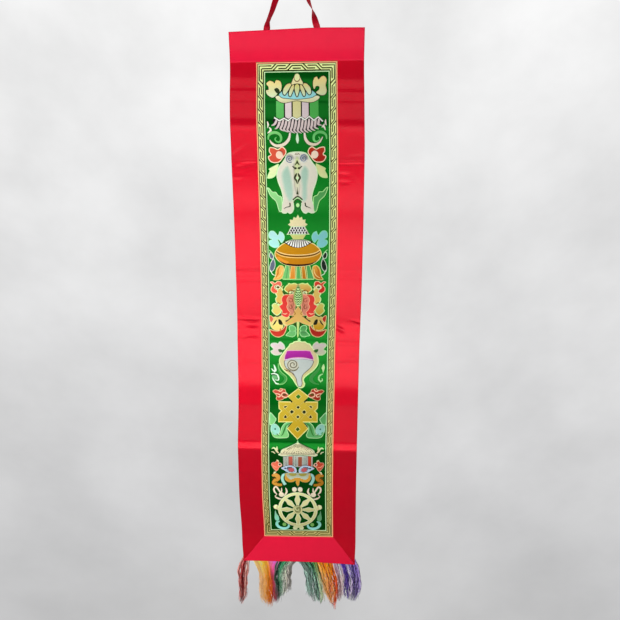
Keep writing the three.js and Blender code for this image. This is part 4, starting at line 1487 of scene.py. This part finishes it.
wheel = Figure("woven_wheel", 0)
for side in (-1, 1):
    for points, widths in (
        ([
            (-36, 872), (-41.5, 863.5), (-46, 868), (-44.5, 876), (-40.5, 881), (-44, 886), (-38, 891),
            (-30, 892.5),
        ], (3.5, 3.4, 3.2, 3.4, 1.2, 1.6, 4, 2.6)),
        ([(-36, 872), (-33.5, 876), (-31, 873), (-31, 866)], (3.4, 3, 3, 1)),
        ([(-23, 866), (-20.8, 874), (-23.5, 881), (-27, 885)], (1, 4, 3.6, 1)),
        ([(-27, 884), (-32, 886), (-35.5, 882), (-33, 877.5), (-28.5, 879), (-27.5, 883)], 2.6),
        ([(-28, 881), (-24, 886), (-27, 890)], (1, 2.6, 1)),
    ):
        points = wheel.sided(points, side)
        wheel.line(points, widths, ((226, 214, 186), (208, 200, 168)), 2, gap=0.7)
    leaf = smooth([
        (-45, 920), (-46.5, 930), (-47, 941), (-43, 946), (-38.5, 943.5), (-39, 935), (-43, 928)
    ])
    # Painted shade: the right leaf is a darker copy of the left one.
    teal = ((120, 178, 140), (118, 190, 160)) if side < 0 else ((84, 140, 96), (90, 156, 104))
    wheel.patch(wheel.sided(leaf, side), teal, 1)
    scroll = [
        (-37, 947), (-42, 949.5), (-43, 956), (-38.5, 962), (-30, 965), (-22, 963), (-19, 957.5), (-21, 953)
    ]
    scroll = wheel.sided(scroll, side)
    wheel.line(scroll, (2, 5.4, 5.8, 5.8, 5.6, 5, 4, 1), ((112, 186, 160), (140, 208, 200)), 1)
    wheel.patch(oval(side * 28, 955, 3.8, 4.4, 14), (104, 160, 78), 1)
    wheel.patch(oval(side * 43, 911.5, 5, 5.7, 16), ((216, 228, 176), (206, 206, 150)), 2, gap=0.7)
    wheel.patch(
        smooth(wheel.outward([(39, 908), (42, 909), (42, 917), (38, 918)], side)), (196, 190, 136), 4
    )
    wheel.patch(oval(side * 5.7, 869.5, 4.7, 5.6, 16), ((214, 212, 190), (216, 206, 172)), 2, gap=0.7)
    wheel.patch(oval(side * 6.2, 963, 4.6, 5, 16), (184, 190, 146), 2, gap=0.6)
wheel.patch(oval(0, 868, 1.6, 3.4, 10), (84, 104, 84), 3)
wheel.patch([(-9, 953), (9, 953), (7.5, 963), (-7.5, 963)], (178, 182, 132), 4)

for width, colour, layer in ((8.8, DARK, 3), (7, WHEEL_EDGE, 4), (4.4, WHEEL_GOLD, 5)):
    for quarter in range(4):
        turns = [math.pi * (quarter * 8 + step) / 16 for step in range(9)]
        rim = [
            (WHEEL_ACROSS * math.sin(turn), WHEEL_CENTRE[1] - WHEEL_DOWN * math.cos(turn)) for turn in turns
        ]
        shades = colour
        if layer > 3:
            upper = quarter in (0, 3)
            middle = [mix(a, b, 0.5) for a, b in zip(*colour)]
            shades = (colour[0], middle) if upper else (middle, colour[1])
        wheel.line(rim, width, shades, layer, steps=1)
for spoke in range(8):
    turn = math.pi * spoke / 4
    shape = []
    for reach, half in (
        (0.14, 2.4), (0.3, 2.6), (0.46, 4.2), (0.6, 5.9), (0.72, 4.6), (0.84, 3.4), (0.98, 3.6),
        (0.98, -3.6), (0.84, -3.4), (0.72, -4.6), (0.6, -5.9), (0.46, -4.2), (0.3, -2.6), (0.14, -2.4),
    ):
        across = WHEEL_ACROSS * reach * math.sin(turn) + half * math.cos(turn)
        down = WHEEL_CENTRE[1] - WHEEL_DOWN * reach * math.cos(turn) + half * math.sin(turn)
        shape.append((across, down))
    pale = ((214, 208, 150), (196, 196, 140)) if spoke in (0, 1, 7) else ((198, 196, 136), (176, 172, 118))
    wheel.patch(smooth(shape, 2), pale, 6, ((198, 214, 172), 1))
wheel.patch(oval(*WHEEL_CENTRE, 9.6, 10.6, 22), (190, 188, 132), 8, gap=0.4)
wheel.patch(oval(0, 916.5, 6.6, 9.4, 20), (116, 118, 72), 10)
wheel.line(
    [(2.5, 909.5), (-3.5, 911), (-4, 917), (1, 919), (2, 914.5)], (1.2, 2.4, 2.4, 2, 1), (184, 190, 136), 11
)
wheel.line([(3.6, 917), (2, 923), (-2, 924)], (1, 2, 1), (150, 150, 98), 11)
wheel.woven(silk_weft)

# --- The satin side strips ---
# Two long strips of red polyester satin, one each side of the brocade. Their outer edges are
# turned in a narrow hem behind, and their feet are cut to a mitre that meets the bottom strip.

LAP = 0.6  # how far each strip lies over its neighbour at a seam
SATIN_FRONT = 0.6
SATIN_THICKNESS = 0.9
HEM_WIDTH = 9
HEM_THICKNESS = 0.5
STRIP_COLUMNS = 14
RED = (200, 0, 31)
# Partly painted sheen: the strips with floats across are given a lighter, pinker red than the side strips.
# It stands in for part of the brighter sheen that their floats also give.
CROSSWISE_RED_PAINTED_SHEEN = (208, 18, 52)


def side_place(side):
    """Returns the place function of the left (-1) or right (1) strip."""

    def place(share, down_share):
        outwards = share if side > 0 else 1 - share
        across = side * mix(PANEL_HALF - LAP, HALF_WIDTH, outwards)
        foot = mix(PANEL_BOTTOM, BODY_LENGTH - LAP, outwards)
        return across, mix(PANEL_TOP - LAP, foot, down_share)

    return place


def hem_place(strip_place, start, end):
    """Narrows a place function to the shares of its width from start to end."""
    return lambda share, down_share: strip_place(mix(start, end, share), down_share)


red_down = satin("red satin with floats down", RED, "down", 0.5, 0.38, 0.15)
red_across = satin("red satin with floats across", CROSSWISE_RED_PAINTED_SHEEN, "across", 0.5, 0.38, 0.1)
STRIP_ROWS = round((BODY_LENGTH - PANEL_TOP) / ROW)
for side, name in ((-1, "left"), (1, "right")):
    place = side_place(side)
    strip = cloth_piece(
        f"{name}_satin_strip", STRIP_COLUMNS, STRIP_ROWS, place, SATIN_THICKNESS, SATIN_FRONT
    )
    hem_share = HEM_WIDTH / (HALF_WIDTH - PANEL_HALF)
    start, end = (1 - hem_share, 1) if side > 0 else (0, hem_share)
    hem = cloth_piece(
        f"{name}_turned_hem", 3, STRIP_ROWS // 2, hem_place(place, start, end), HEM_THICKNESS,
        SATIN_FRONT - SATIN_THICKNESS - 0.05,
    )
    strip.select_set(True)
    hem.select_set(True)
    bpy.context.view_layer.objects.active = strip
    bpy.ops.object.join()
    strip.select_set(False)
    strip.data.materials.append(red_down)
    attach(strip, "root")
    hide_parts(f"{name}_strip")

# --- The satin strip across the top ---
# The top strip runs the full width over the side strips and the brocade. It is cut with its floats
# across, so it shines where the side strips don't. The ribbon's ends are caught under its hem.

TOP_ROWS = 26
TOP_FRONT = 0.9
HEM_COLUMNS = 70


def top_place(share, down_share):
    """A place on the top strip from its shares of width and length."""
    return mix(-HALF_WIDTH, HALF_WIDTH, share), mix(0, PANEL_TOP, down_share)


top = cloth_piece("top_satin_strip", HEM_COLUMNS, TOP_ROWS, top_place, SATIN_THICKNESS, TOP_FRONT)
top.data.materials.append(red_across)
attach(top, "root")
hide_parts("top_strip")

# --- The satin strip across the bottom ---
# The bottom strip is a trapezium, mitred at both ends into the side strips. Its floats lie across.

BOTTOM_ROWS = 28
BOTTOM_FRONT = 0.75


def bottom_place(share, down_share):
    """A place on the bottom strip; its ends slant outward down the mitres."""
    down = mix(PANEL_BOTTOM - LAP, BODY_LENGTH, down_share)
    half = mix(PANEL_HALF, HALF_WIDTH, down_share)
    return mix(-half, half, share), down


bottom = cloth_piece(
    "bottom_satin_strip", HEM_COLUMNS, BOTTOM_ROWS, bottom_place, SATIN_THICKNESS, BOTTOM_FRONT
)
bottom.data.materials.append(red_across)
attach(bottom, "root")
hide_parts("bottom_strip")

# --- The hanging loop ---
# One length of crimson satin ribbon, sewn behind the top hem at both ends. It goes up over the nail
# and twists on its way, so the left half shows its face and the right half turns edge on.

RIBBON_WIDTH = 11
RIBBON_THICKNESS = 1
RIBBON_STEPS = 6  # between one row of the table and the next
RIBBON_COLUMNS = 6
RIBBON_RED = (176, 8, 34)

# Across from the nail, up from it, back from it, and the turn of the ribbon's width in degrees.
RIBBON = [
    (-52, -137, 6.7, 0),
    (-50.3, -123.5, 6.8, -6),
    (-49.6, -118, 6.5, -38),
    (-48.4, -113, 6, -60),
    (-45.2, -105, 5.4, -60),
    (-41.2, -96, 4.6, -50),
    (-35, -79, 3.6, -34),
    (-21, -45, 1.9, -8),
    (-7.4, -14, 0.5, 55),
    (-3, -3.2, 0, 85),
    (0, 0.5, 0, 90),
    (3, -3.2, 0, 92),
    (6, -14, 0.5, 104),
    (13, -48, 2, 132),
    (20, -79, 3.6, 126),
    (26.2, -93, 4.4, 92),
    (29.8, -107, 5.4, 34),
    (32.2, -116, 6.4, 6),
    (33.6, -120, 6.8, 0),
    (35, -134, 6.7, 0),
]


def ribbon_path():
    """The ribbon's middle line and its turn at every step, through the table's rows."""
    points = [Vector((across, back, up)) for across, up, back, _ in RIBBON]
    points = [2 * points[0] - points[1]] + points + [2 * points[-1] - points[-2]]
    path = []
    for index in range(len(RIBBON) - 1):
        a, b, c, d = points[index:index + 4]
        first, second, third = ((q - p).length ** 0.5 for p, q in ((a, b), (b, c), (c, d)))
        for step in range(RIBBON_STEPS):
            share = step / RIBBON_STEPS
            t = second * share
            ab, bc, cd = a.lerp(b, (t + first) / first), b.lerp(c, share), c.lerp(d, (t - second) / third)
            low = ab.lerp(bc, (t + first) / (first + second))
            high = bc.lerp(cd, t / (second + third))
            path.append((low.lerp(high, share), mix(RIBBON[index][3], RIBBON[index + 1][3], share)))
    path.append((points[-2], RIBBON[-1][3]))
    return path


path = ribbon_path()
places, flat, length = [], [], 0
for index, (point, turn) in enumerate(path):
    before, after = path[max(index - 1, 0)][0], path[min(index + 1, len(path) - 1)][0]
    length += (point - path[max(index - 1, 0)][0]).length
    along = (after - before).normalized()
    turn = math.radians(turn)
    sideways = Vector((-along.z, 0, along.x)).normalized()
    width = sideways * math.cos(turn) + Vector((0, 1, 0)) * math.sin(turn)
    for column in range(RIBBON_COLUMNS + 1):
        across = (column / RIBBON_COLUMNS - 0.5) * RIBBON_WIDTH
        places.append((point + width * across) * MM)
        flat.append((across, length))
faces = []
for index in range(len(path) - 1):
    for column in range(RIBBON_COLUMNS):
        corner = index * (RIBBON_COLUMNS + 1) + column
        faces.append((corner, corner + 1, corner + RIBBON_COLUMNS + 2, corner + RIBBON_COLUMNS + 1))
ribbon = point_piece("ribbon_loop", places, faces, flat)
thicken(ribbon, RIBBON_THICKNESS, 0)
ribbon.data.materials.append(satin("crimson ribbon satin", RIBBON_RED, "down", 0.4, 0.4, 0.08))
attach(ribbon, "root")
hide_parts("hanging_loop")

# --- The fringe ---
# Loose silk threads in the colours of the rainbow, knotted to a narrow tape that is sewn behind the
# bottom hem. They hang in eight tufts, each of several locks, with open arches between some of them.

FRINGE_FRONT = 15.8
FRINGE_DEPTH = 4
FRINGE_ROOT = -1161
LOCK_WIDTH = 2.6
LOCK_THREADS = 12
THREAD_RADIUS = 0.42
THREAD_STEPS = 18
THREAD_CORNER = 2.094  # radians from one of a thread's three corners to the next
THREAD_TAPER = 0.6  # how much of a thread's radius is gone at its tip
THREAD_SHADE = 1.25  # how much brighter the threads are than the table's colours
STRAY_SHARE = 0.08  # of the threads stray from their lock
STRAY_SPREAD = 3
LOCK_SPREAD = 1.7

# Each tuft: the places of its left side and of its right side at six levels from the tape to the tips;
# the drop at its left and at its right; how much its locks differ; and its threads' colours from left
# to right, each at the top of the thread and at its end.
TUFTS = [
    (
        (-114, -125, -127, -126, -125, -124), (-103, -105, -107.5, -110, -114, -121), 118, 121, 0.7,
        [
            ((206, 120, 112), (190, 116, 110)), ((214, 150, 140), (186, 96, 90)),
            ((170, 30, 32), (130, 24, 30)), ((140, 16, 18), (100, 14, 20)),
            ((224, 176, 166), (190, 100, 92)), ((226, 200, 192), (210, 150, 140)),
        ],
    ),
    (
        (-99, -88.5, -81.5, -82, -81, -72), (-66, -63, -60, -59, -59, -61), 118, 126, 0.2,
        [
            ((200, 174, 116), (206, 166, 120)), ((218, 196, 112), (204, 160, 108)),
            ((222, 190, 76), (198, 142, 74)), ((214, 176, 58), (186, 116, 30)),
            ((214, 162, 60), (184, 98, 24)),
        ],
    ),
    (
        (-67, -63, -61, -60, -60, -60), (-38, -46, -51, -49, -45, -50), 120, 114, 0.25,
        [
            ((226, 146, 120), (180, 84, 34)), ((250, 140, 200), (164, 56, 40)),
            ((255, 120, 210), (146, 52, 66)), ((255, 130, 214), (130, 66, 88)),
            ((236, 150, 206), (140, 108, 116)),
        ],
    ),
    (
        (-43, -49, -53, -50, -46, -48), (-1, -15.5, -19, -17, -22, -31), 114, 84, 0.8,
        [
            ((40, 130, 96), (60, 90, 70)), ((20, 120, 76), (30, 86, 56)), ((30, 134, 84), (96, 140, 112)),
            ((60, 140, 96), (150, 164, 142)), ((130, 150, 130), (180, 172, 160)),
            ((176, 172, 160), (176, 168, 158)), ((120, 130, 126), (150, 146, 136)),
        ],
    ),
    (
        (-10, 7, 12, 14, 18, 27), (32, 37, 41, 46, 50, 50), 104, 116, 0.8,
        [
            ((110, 124, 126), (130, 150, 140)), ((150, 164, 156), (150, 184, 168)),
            ((70, 146, 106), (146, 180, 164)), ((30, 140, 84), (150, 184, 168)),
            ((40, 110, 50), (110, 150, 124)), ((110, 126, 50), (170, 164, 132)),
        ],
    ),
    (
        (27, 36, 42, 48, 54, 63), (66, 70, 76, 77, 76, 73), 98, 126, 0.6,
        [
            ((210, 150, 50), (160, 156, 110)), ((244, 140, 24), (196, 140, 80)),
            ((252, 132, 10), (224, 132, 70)), ((244, 122, 16), (220, 130, 80)),
            ((248, 116, 6), (206, 76, 16)), ((240, 104, 10), (196, 58, 16)),
        ],
    ),
    (
        (67, 72, 77, 78, 78, 80), (83, 88, 93, 93, 92, 90), 104, 98, 0.6,
        [
            ((150, 90, 130), (150, 84, 90)), ((190, 176, 206), (188, 152, 156)),
            ((206, 192, 212), (192, 166, 166)), ((190, 180, 210), (196, 176, 186)),
        ],
    ),
    (
        (81, 88, 93, 94, 95, 97), (113, 121, 124, 125, 121, 115), 106, 100, 0.9,
        [
            ((150, 130, 220), (120, 100, 160)), ((90, 50, 200), (60, 36, 120)),
            ((196, 186, 230), (176, 160, 190)), ((60, 34, 170), (40, 24, 90)),
            ((170, 156, 220), (150, 134, 176)), ((84, 56, 156), (64, 44, 108)),
            ((160, 140, 190), (130, 110, 156)),
        ],
    ),
]


def blended(colours, share):
    """The pair of colours that lies that share of the way through a list of pairs."""
    place = min(max(share, 0), 1) * (len(colours) - 1)
    low = min(int(place), len(colours) - 2)
    pairs = zip(colours[low], colours[low + 1])
    return [[mix(a, b, place - low) for a, b in zip(first, second)] for first, second in pairs]


def side_at(levels, share):
    """A tuft's side that share of the way down, rounded between its levels."""
    place = min(max(share, 0), 0.9999) * (len(levels) - 1)
    index = int(place)
    near = [levels[min(max(index + step, 0), len(levels) - 1)] for step in (-1, 0, 1, 2)]
    t = place - index
    bend = (2 * near[0] - 5 * near[1] + 4 * near[2] - near[3]) * t * t
    bend += (3 * near[1] - near[0] - 3 * near[2] + near[3]) * t * t * t
    return near[1] + ((near[2] - near[0]) * t + bend) / 2


random.seed(11)
places, faces, flat, dyes_with_painted_light = [], [], [], []
for left, right, drop_left, drop_right, contrast, colours in TUFTS:
    widest = max(b - a for a, b in zip(left, right))
    locks = max(4, round(widest / LOCK_WIDTH))
    for lock in range(locks):
        lock_share = (lock + random.uniform(0.2, 0.8)) / locks
        lock_drop = mix(drop_left, drop_right, lock_share) * random.uniform(0.88, 1.02)
        lock_sway, lock_pace = random.uniform(0.8, 2.8), random.uniform(5, 9)
        lock_phase = random.uniform(0, 6.3)
        lock_shade = 1 + contrast * random.choice((-0.35, -0.1, 0.1, 0.2, 0.3))
        lock_depth = random.uniform(0.15, 0.85)
        lock_wave, wave_pace = random.uniform(0.4, 1.5), random.uniform(15, 27)
        for _ in range(LOCK_THREADS):
            stray = random.random() < STRAY_SHARE
            offset = random.gauss(0, STRAY_SPREAD if stray else LOCK_SPREAD)
            root_share = lock_share + random.uniform(-0.9, 0.9) / locks
            reach = lock_drop * (1 - abs(random.gauss(0, 0.07)))
            sway, pace, phase = random.gauss(0, 1.1), random.uniform(5, 14), random.uniform(0, 6.3)
            crimp = random.uniform(0.2, 0.7)
            depth = FRINGE_FRONT + FRINGE_DEPTH * min(max(lock_depth + random.gauss(0, 0.15), 0.1), 0.9)
            back_sway = random.gauss(0, 0.8)
            # Painted shade: a share of threads is made much darker and thicker, standing in for the dark
            # lines of shade between the strands.
            dark = random.random() < 0.3 * contrast - 0.02
            unevenness = -0.8 if dark else random.uniform(-0.15, 0.2)
            shade = THREAD_SHADE * lock_shade * (1 + contrast * unevenness)
            dye_top, dye_foot = blended(colours, lock_share + random.gauss(0, 0.07))
            base = len(places)
            for step in range(THREAD_STEPS + 1):
                t = step / THREAD_STEPS
                level = t * reach / max(drop_left, drop_right)
                share = mix(root_share, lock_share, min(1, 1.6 * t))
                across = mix(side_at(left, level), side_at(right, level), share) + offset * (0.2 + 0.9 * t)
                across += lock_sway * t * math.sin(lock_pace * t + lock_phase)
                across += lock_wave * min(1, 2 * t) * math.sin(wave_pace * t + 3 * lock_phase)
                across += sway * t * math.sin(pace * t + phase) + crimp * math.sin(26 * t + 2 * phase)
                back = depth + back_sway * t * math.sin(pace * t + phase)
                radius = THREAD_RADIUS * (1.5 if dark else 1) * (1 - THREAD_TAPER * t ** 3)
                for corner in range(3):
                    angle = THREAD_CORNER * corner + phase
                    places.append(
                        Vector((
                            across + radius * math.cos(angle), back + radius * math.sin(angle),
                            FRINGE_ROOT - t * reach,
                        )) * MM
                    )
                    flat.append((across, t * reach))
                    fade = min(1, t * 2)
                    dye_with_painted_light = [min(mix(a, b, fade) * shade, 255) for a, b in zip(dye_top, dye_foot)]
                    dyes_with_painted_light.append(linear(dye_with_painted_light))
            for step in range(THREAD_STEPS):
                for corner in range(3):
                    a, b = base + step * 3 + corner, base + step * 3 + (corner + 1) % 3
                    faces.append((a, a + 3, b + 3, b))
            last = base + THREAD_STEPS * 3
            faces.append((base, base + 1, base + 2))
            faces.append((last + 2, last + 1, last))
fringe = point_piece("silk_fringe", places, faces, flat)
dye_points(fringe, dyes_with_painted_light)
bpy.ops.object.shade_smooth_by_angle(angle=math.radians(130))
fringe.select_set(False)
fringe.data.materials.append(weft("fringe silk", 0.35, 0.45))
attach(fringe, "root")
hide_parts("fringe")

# --- The room ---
# A pale floor well below the hanging that runs back out of sight and clouds over towards the haze, a
# soft sky, five large soft lamps one over another in front, which the folds that face them mirror, and
# one more over the floor behind.

FLOOR_HEIGHT = -1.9
FLOOR_SIZE = 500
FLOOR_GREY = (206, 206, 205)
HAZE_START = 1.64  # metres from the hanging back to the eye, where distances are taken from
HAZE_NEAREST = 0.32  # one over the distance up to which the haze has its near colour
CLOUDS = 5.5  # the clouds' scale, the same at any distance as it is seen
CLOUD_PLACE = 3.0  # where in the noise the clouds are taken from
CLOUD_CONTRAST = 0.6  # from the darkest to the brightest, about the haze's own colour
HAZE_FAR = (243, 243, 243)
HAZE_NEAR = (204, 204, 205)
HAZE_STRENGTH = 0.88  # of the sky, where it is looked at
WORLD = 0.18  # the sky's strength as a light


def shared(wire, value, low, high, interpolation="LINEAR"):
    """The share, from 0 to 1, that the value has come on its way from low to high."""
    return wire.node(
        "ShaderNodeMapRange", {"interpolation_type": interpolation},
        {"Value": value, "From Min": low, "From Max": high, "To Min": 0.0, "To Max": 1.0},
    )


def looked_at(wire, behind, around):
    """How much of a backdrop's own glow is seen: behind, in mirrors and through glass, and
    around, by the eye."""
    seen, mirrored_ray, passed = (
        wire.node("ShaderNodeLightPath", output=f"Is {kind} Ray")
        for kind in ("Camera", "Glossy", "Transmission")
    )
    return wire.maths("MINIMUM", (mirrored_ray + passed) * behind + seen * around, 1.0)


bpy.ops.mesh.primitive_plane_add(size=FLOOR_SIZE, location=(0, 0, FLOOR_HEIGHT))
floor = bpy.context.object
floor.name = "floor"
bpy.ops.object.transform_apply(location=True, rotation=True, scale=True)
floor.select_set(False)
material, wire = new_finish("pale floor")
place = wire.node("ShaderNodeTexCoord", output="Object")
level = wire.node("ShaderNodeVectorMath", {"operation": "MULTIPLY"}, {0: place, 1: (1, 1, 0)})
distance = wire.node("ShaderNodeVectorMath", {"operation": "LENGTH"}, {0: level}, output="Value")
away = wire.maths("DIVIDE", 1.0, distance + HAZE_START)
fall = shared(wire, away, 0.0, HAZE_NEAREST)
turned = wire.node("ShaderNodeVectorMath", {"operation": "SCALE"}, {0: level, 3: away * CLOUDS})
outward = wire.node("ShaderNodeCombineXYZ", None, {0: CLOUD_PLACE, 2: away * CLOUDS})
clouds = wire.node("ShaderNodeVectorMath", {"operation": "ADD"}, {0: turned, 1: outward})
clouds = wire.node(
    "ShaderNodeTexNoise", None, {"Vector": clouds, "Scale": 1.0, "Detail": 5.0, "Roughness": 0.55}
)
haze = wire.node(
    "ShaderNodeMix", {"data_type": "RGBA"}, {0: fall, 6: linear(HAZE_FAR), 7: linear(HAZE_NEAR)},
    output=2,
)
haze = shaded(wire, haze, clouds * CLOUD_CONTRAST + (1 - CLOUD_CONTRAST / 2))
spread = wire.node("ShaderNodeSeparateXYZ", None, {0: place}, output="Y")
behind, around = (shared(wire, reach, -1.0, 2.0, "SMOOTHSTEP") for reach in (spread, distance))
glow = wire.node("ShaderNodeEmission", None, {"Color": haze, "Strength": 1.0})
surface = wire.node(
    "ShaderNodeBsdfPrincipled", None, {"Base Color": linear(FLOOR_GREY), "Roughness": 0.9}
)
share = looked_at(wire, behind, around)
surface = wire.node("ShaderNodeMixShader", None, {0: share, 1: surface, 2: glow})
wire.node("ShaderNodeOutputMaterial", None, {"Surface": surface})
floor.data.materials.append(material)
floor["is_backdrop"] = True

world = bpy.data.worlds.new("soft sky")
bpy.context.scene.world = world
world.use_nodes = True
world.node_tree.nodes.clear()
wire = Wire(world.node_tree)
direction = wire.node("ShaderNodeTexCoord", output="Generated")
forward = wire.node("ShaderNodeSeparateXYZ", None, {0: direction}, output="Y")
share = looked_at(wire, shared(wire, forward, 0.0, 0.3), 1.0)
brightness = share * (HAZE_STRENGTH - WORLD) + WORLD
sky = wire.node("ShaderNodeBackground", None, {"Color": (1, 1, 1, 1), "Strength": brightness})
wire.node("ShaderNodeOutputWorld", None, {"Surface": sky})

# Each front lamp: its height above the nail in metres, how tall its face is, and its watts.
FRONT_LAMPS = {
    "lowest front lamp": (-1.67, 0.5, 18.5),
    "low front lamp": (-0.8, 0.75, 10),
    "front lamp": (-0.26, 0.3, 8),
    "high front lamp": (0.52, 0.45, 7.5),
    "highest front lamp": (1.4, 0.4, 11),
}
FRONT_LAMP_SIDE = -0.15
FRONT_LAMP_AWAY = 2.1
FRONT_LAMP_WIDTH = 2.4
WORK_MIDDLE = (0, 0, -0.65)


def soft_lamp(name, place, target, width, height, watts):
    """A large rectangular lamp that faces its target and isn't seen itself."""
    bpy.ops.object.light_add(type="AREA", location=place)
    lamp = bpy.context.object
    lamp.name = name
    lamp.data.shape = "RECTANGLE"
    lamp.data.size = width
    lamp.data.size_y = height
    lamp.data.energy = watts
    lamp.rotation_euler = (Vector(target) - Vector(place)).to_track_quat("-Z", "Y").to_euler()
    lamp.visible_camera = False


for name, (level, height, watts) in FRONT_LAMPS.items():
    place = (FRONT_LAMP_SIDE, -FRONT_LAMP_AWAY, level)
    soft_lamp(name, place, WORK_MIDDLE, FRONT_LAMP_WIDTH, height, watts)
soft_lamp("floor lamp", (0, 2.6, 1.2), (0, 3.0, FLOOR_HEIGHT), 3.0, 2.0, 95)

# The camera looks from just right of the middle, a little below the nail, down the hanging.
CAMERA_PLACE = (0.123, -1.641, -0.0475)
CAMERA_PITCH = 19.18
CAMERA_YAW = 3.5
CAMERA_LENS = 55
CAMERA_SENSOR = 36
bpy.ops.object.camera_add(
    location=CAMERA_PLACE,
    rotation=(math.radians(90 - CAMERA_PITCH), 0, math.radians(CAMERA_YAW)),
)
camera = bpy.context.object
camera.data.lens = CAMERA_LENS
camera.data.sensor_width = CAMERA_SENSOR
bpy.context.scene.camera = camera
bpy.context.scene.view_settings.view_transform = "Standard"

# --- Sizes ---
# The box of the imported frame and the box of the finished work are kept side by side.

boxes = {"cad": cad_box, "visual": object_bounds()}
{name: [list(corner) for corner in box] for name, box in boxes.items()}
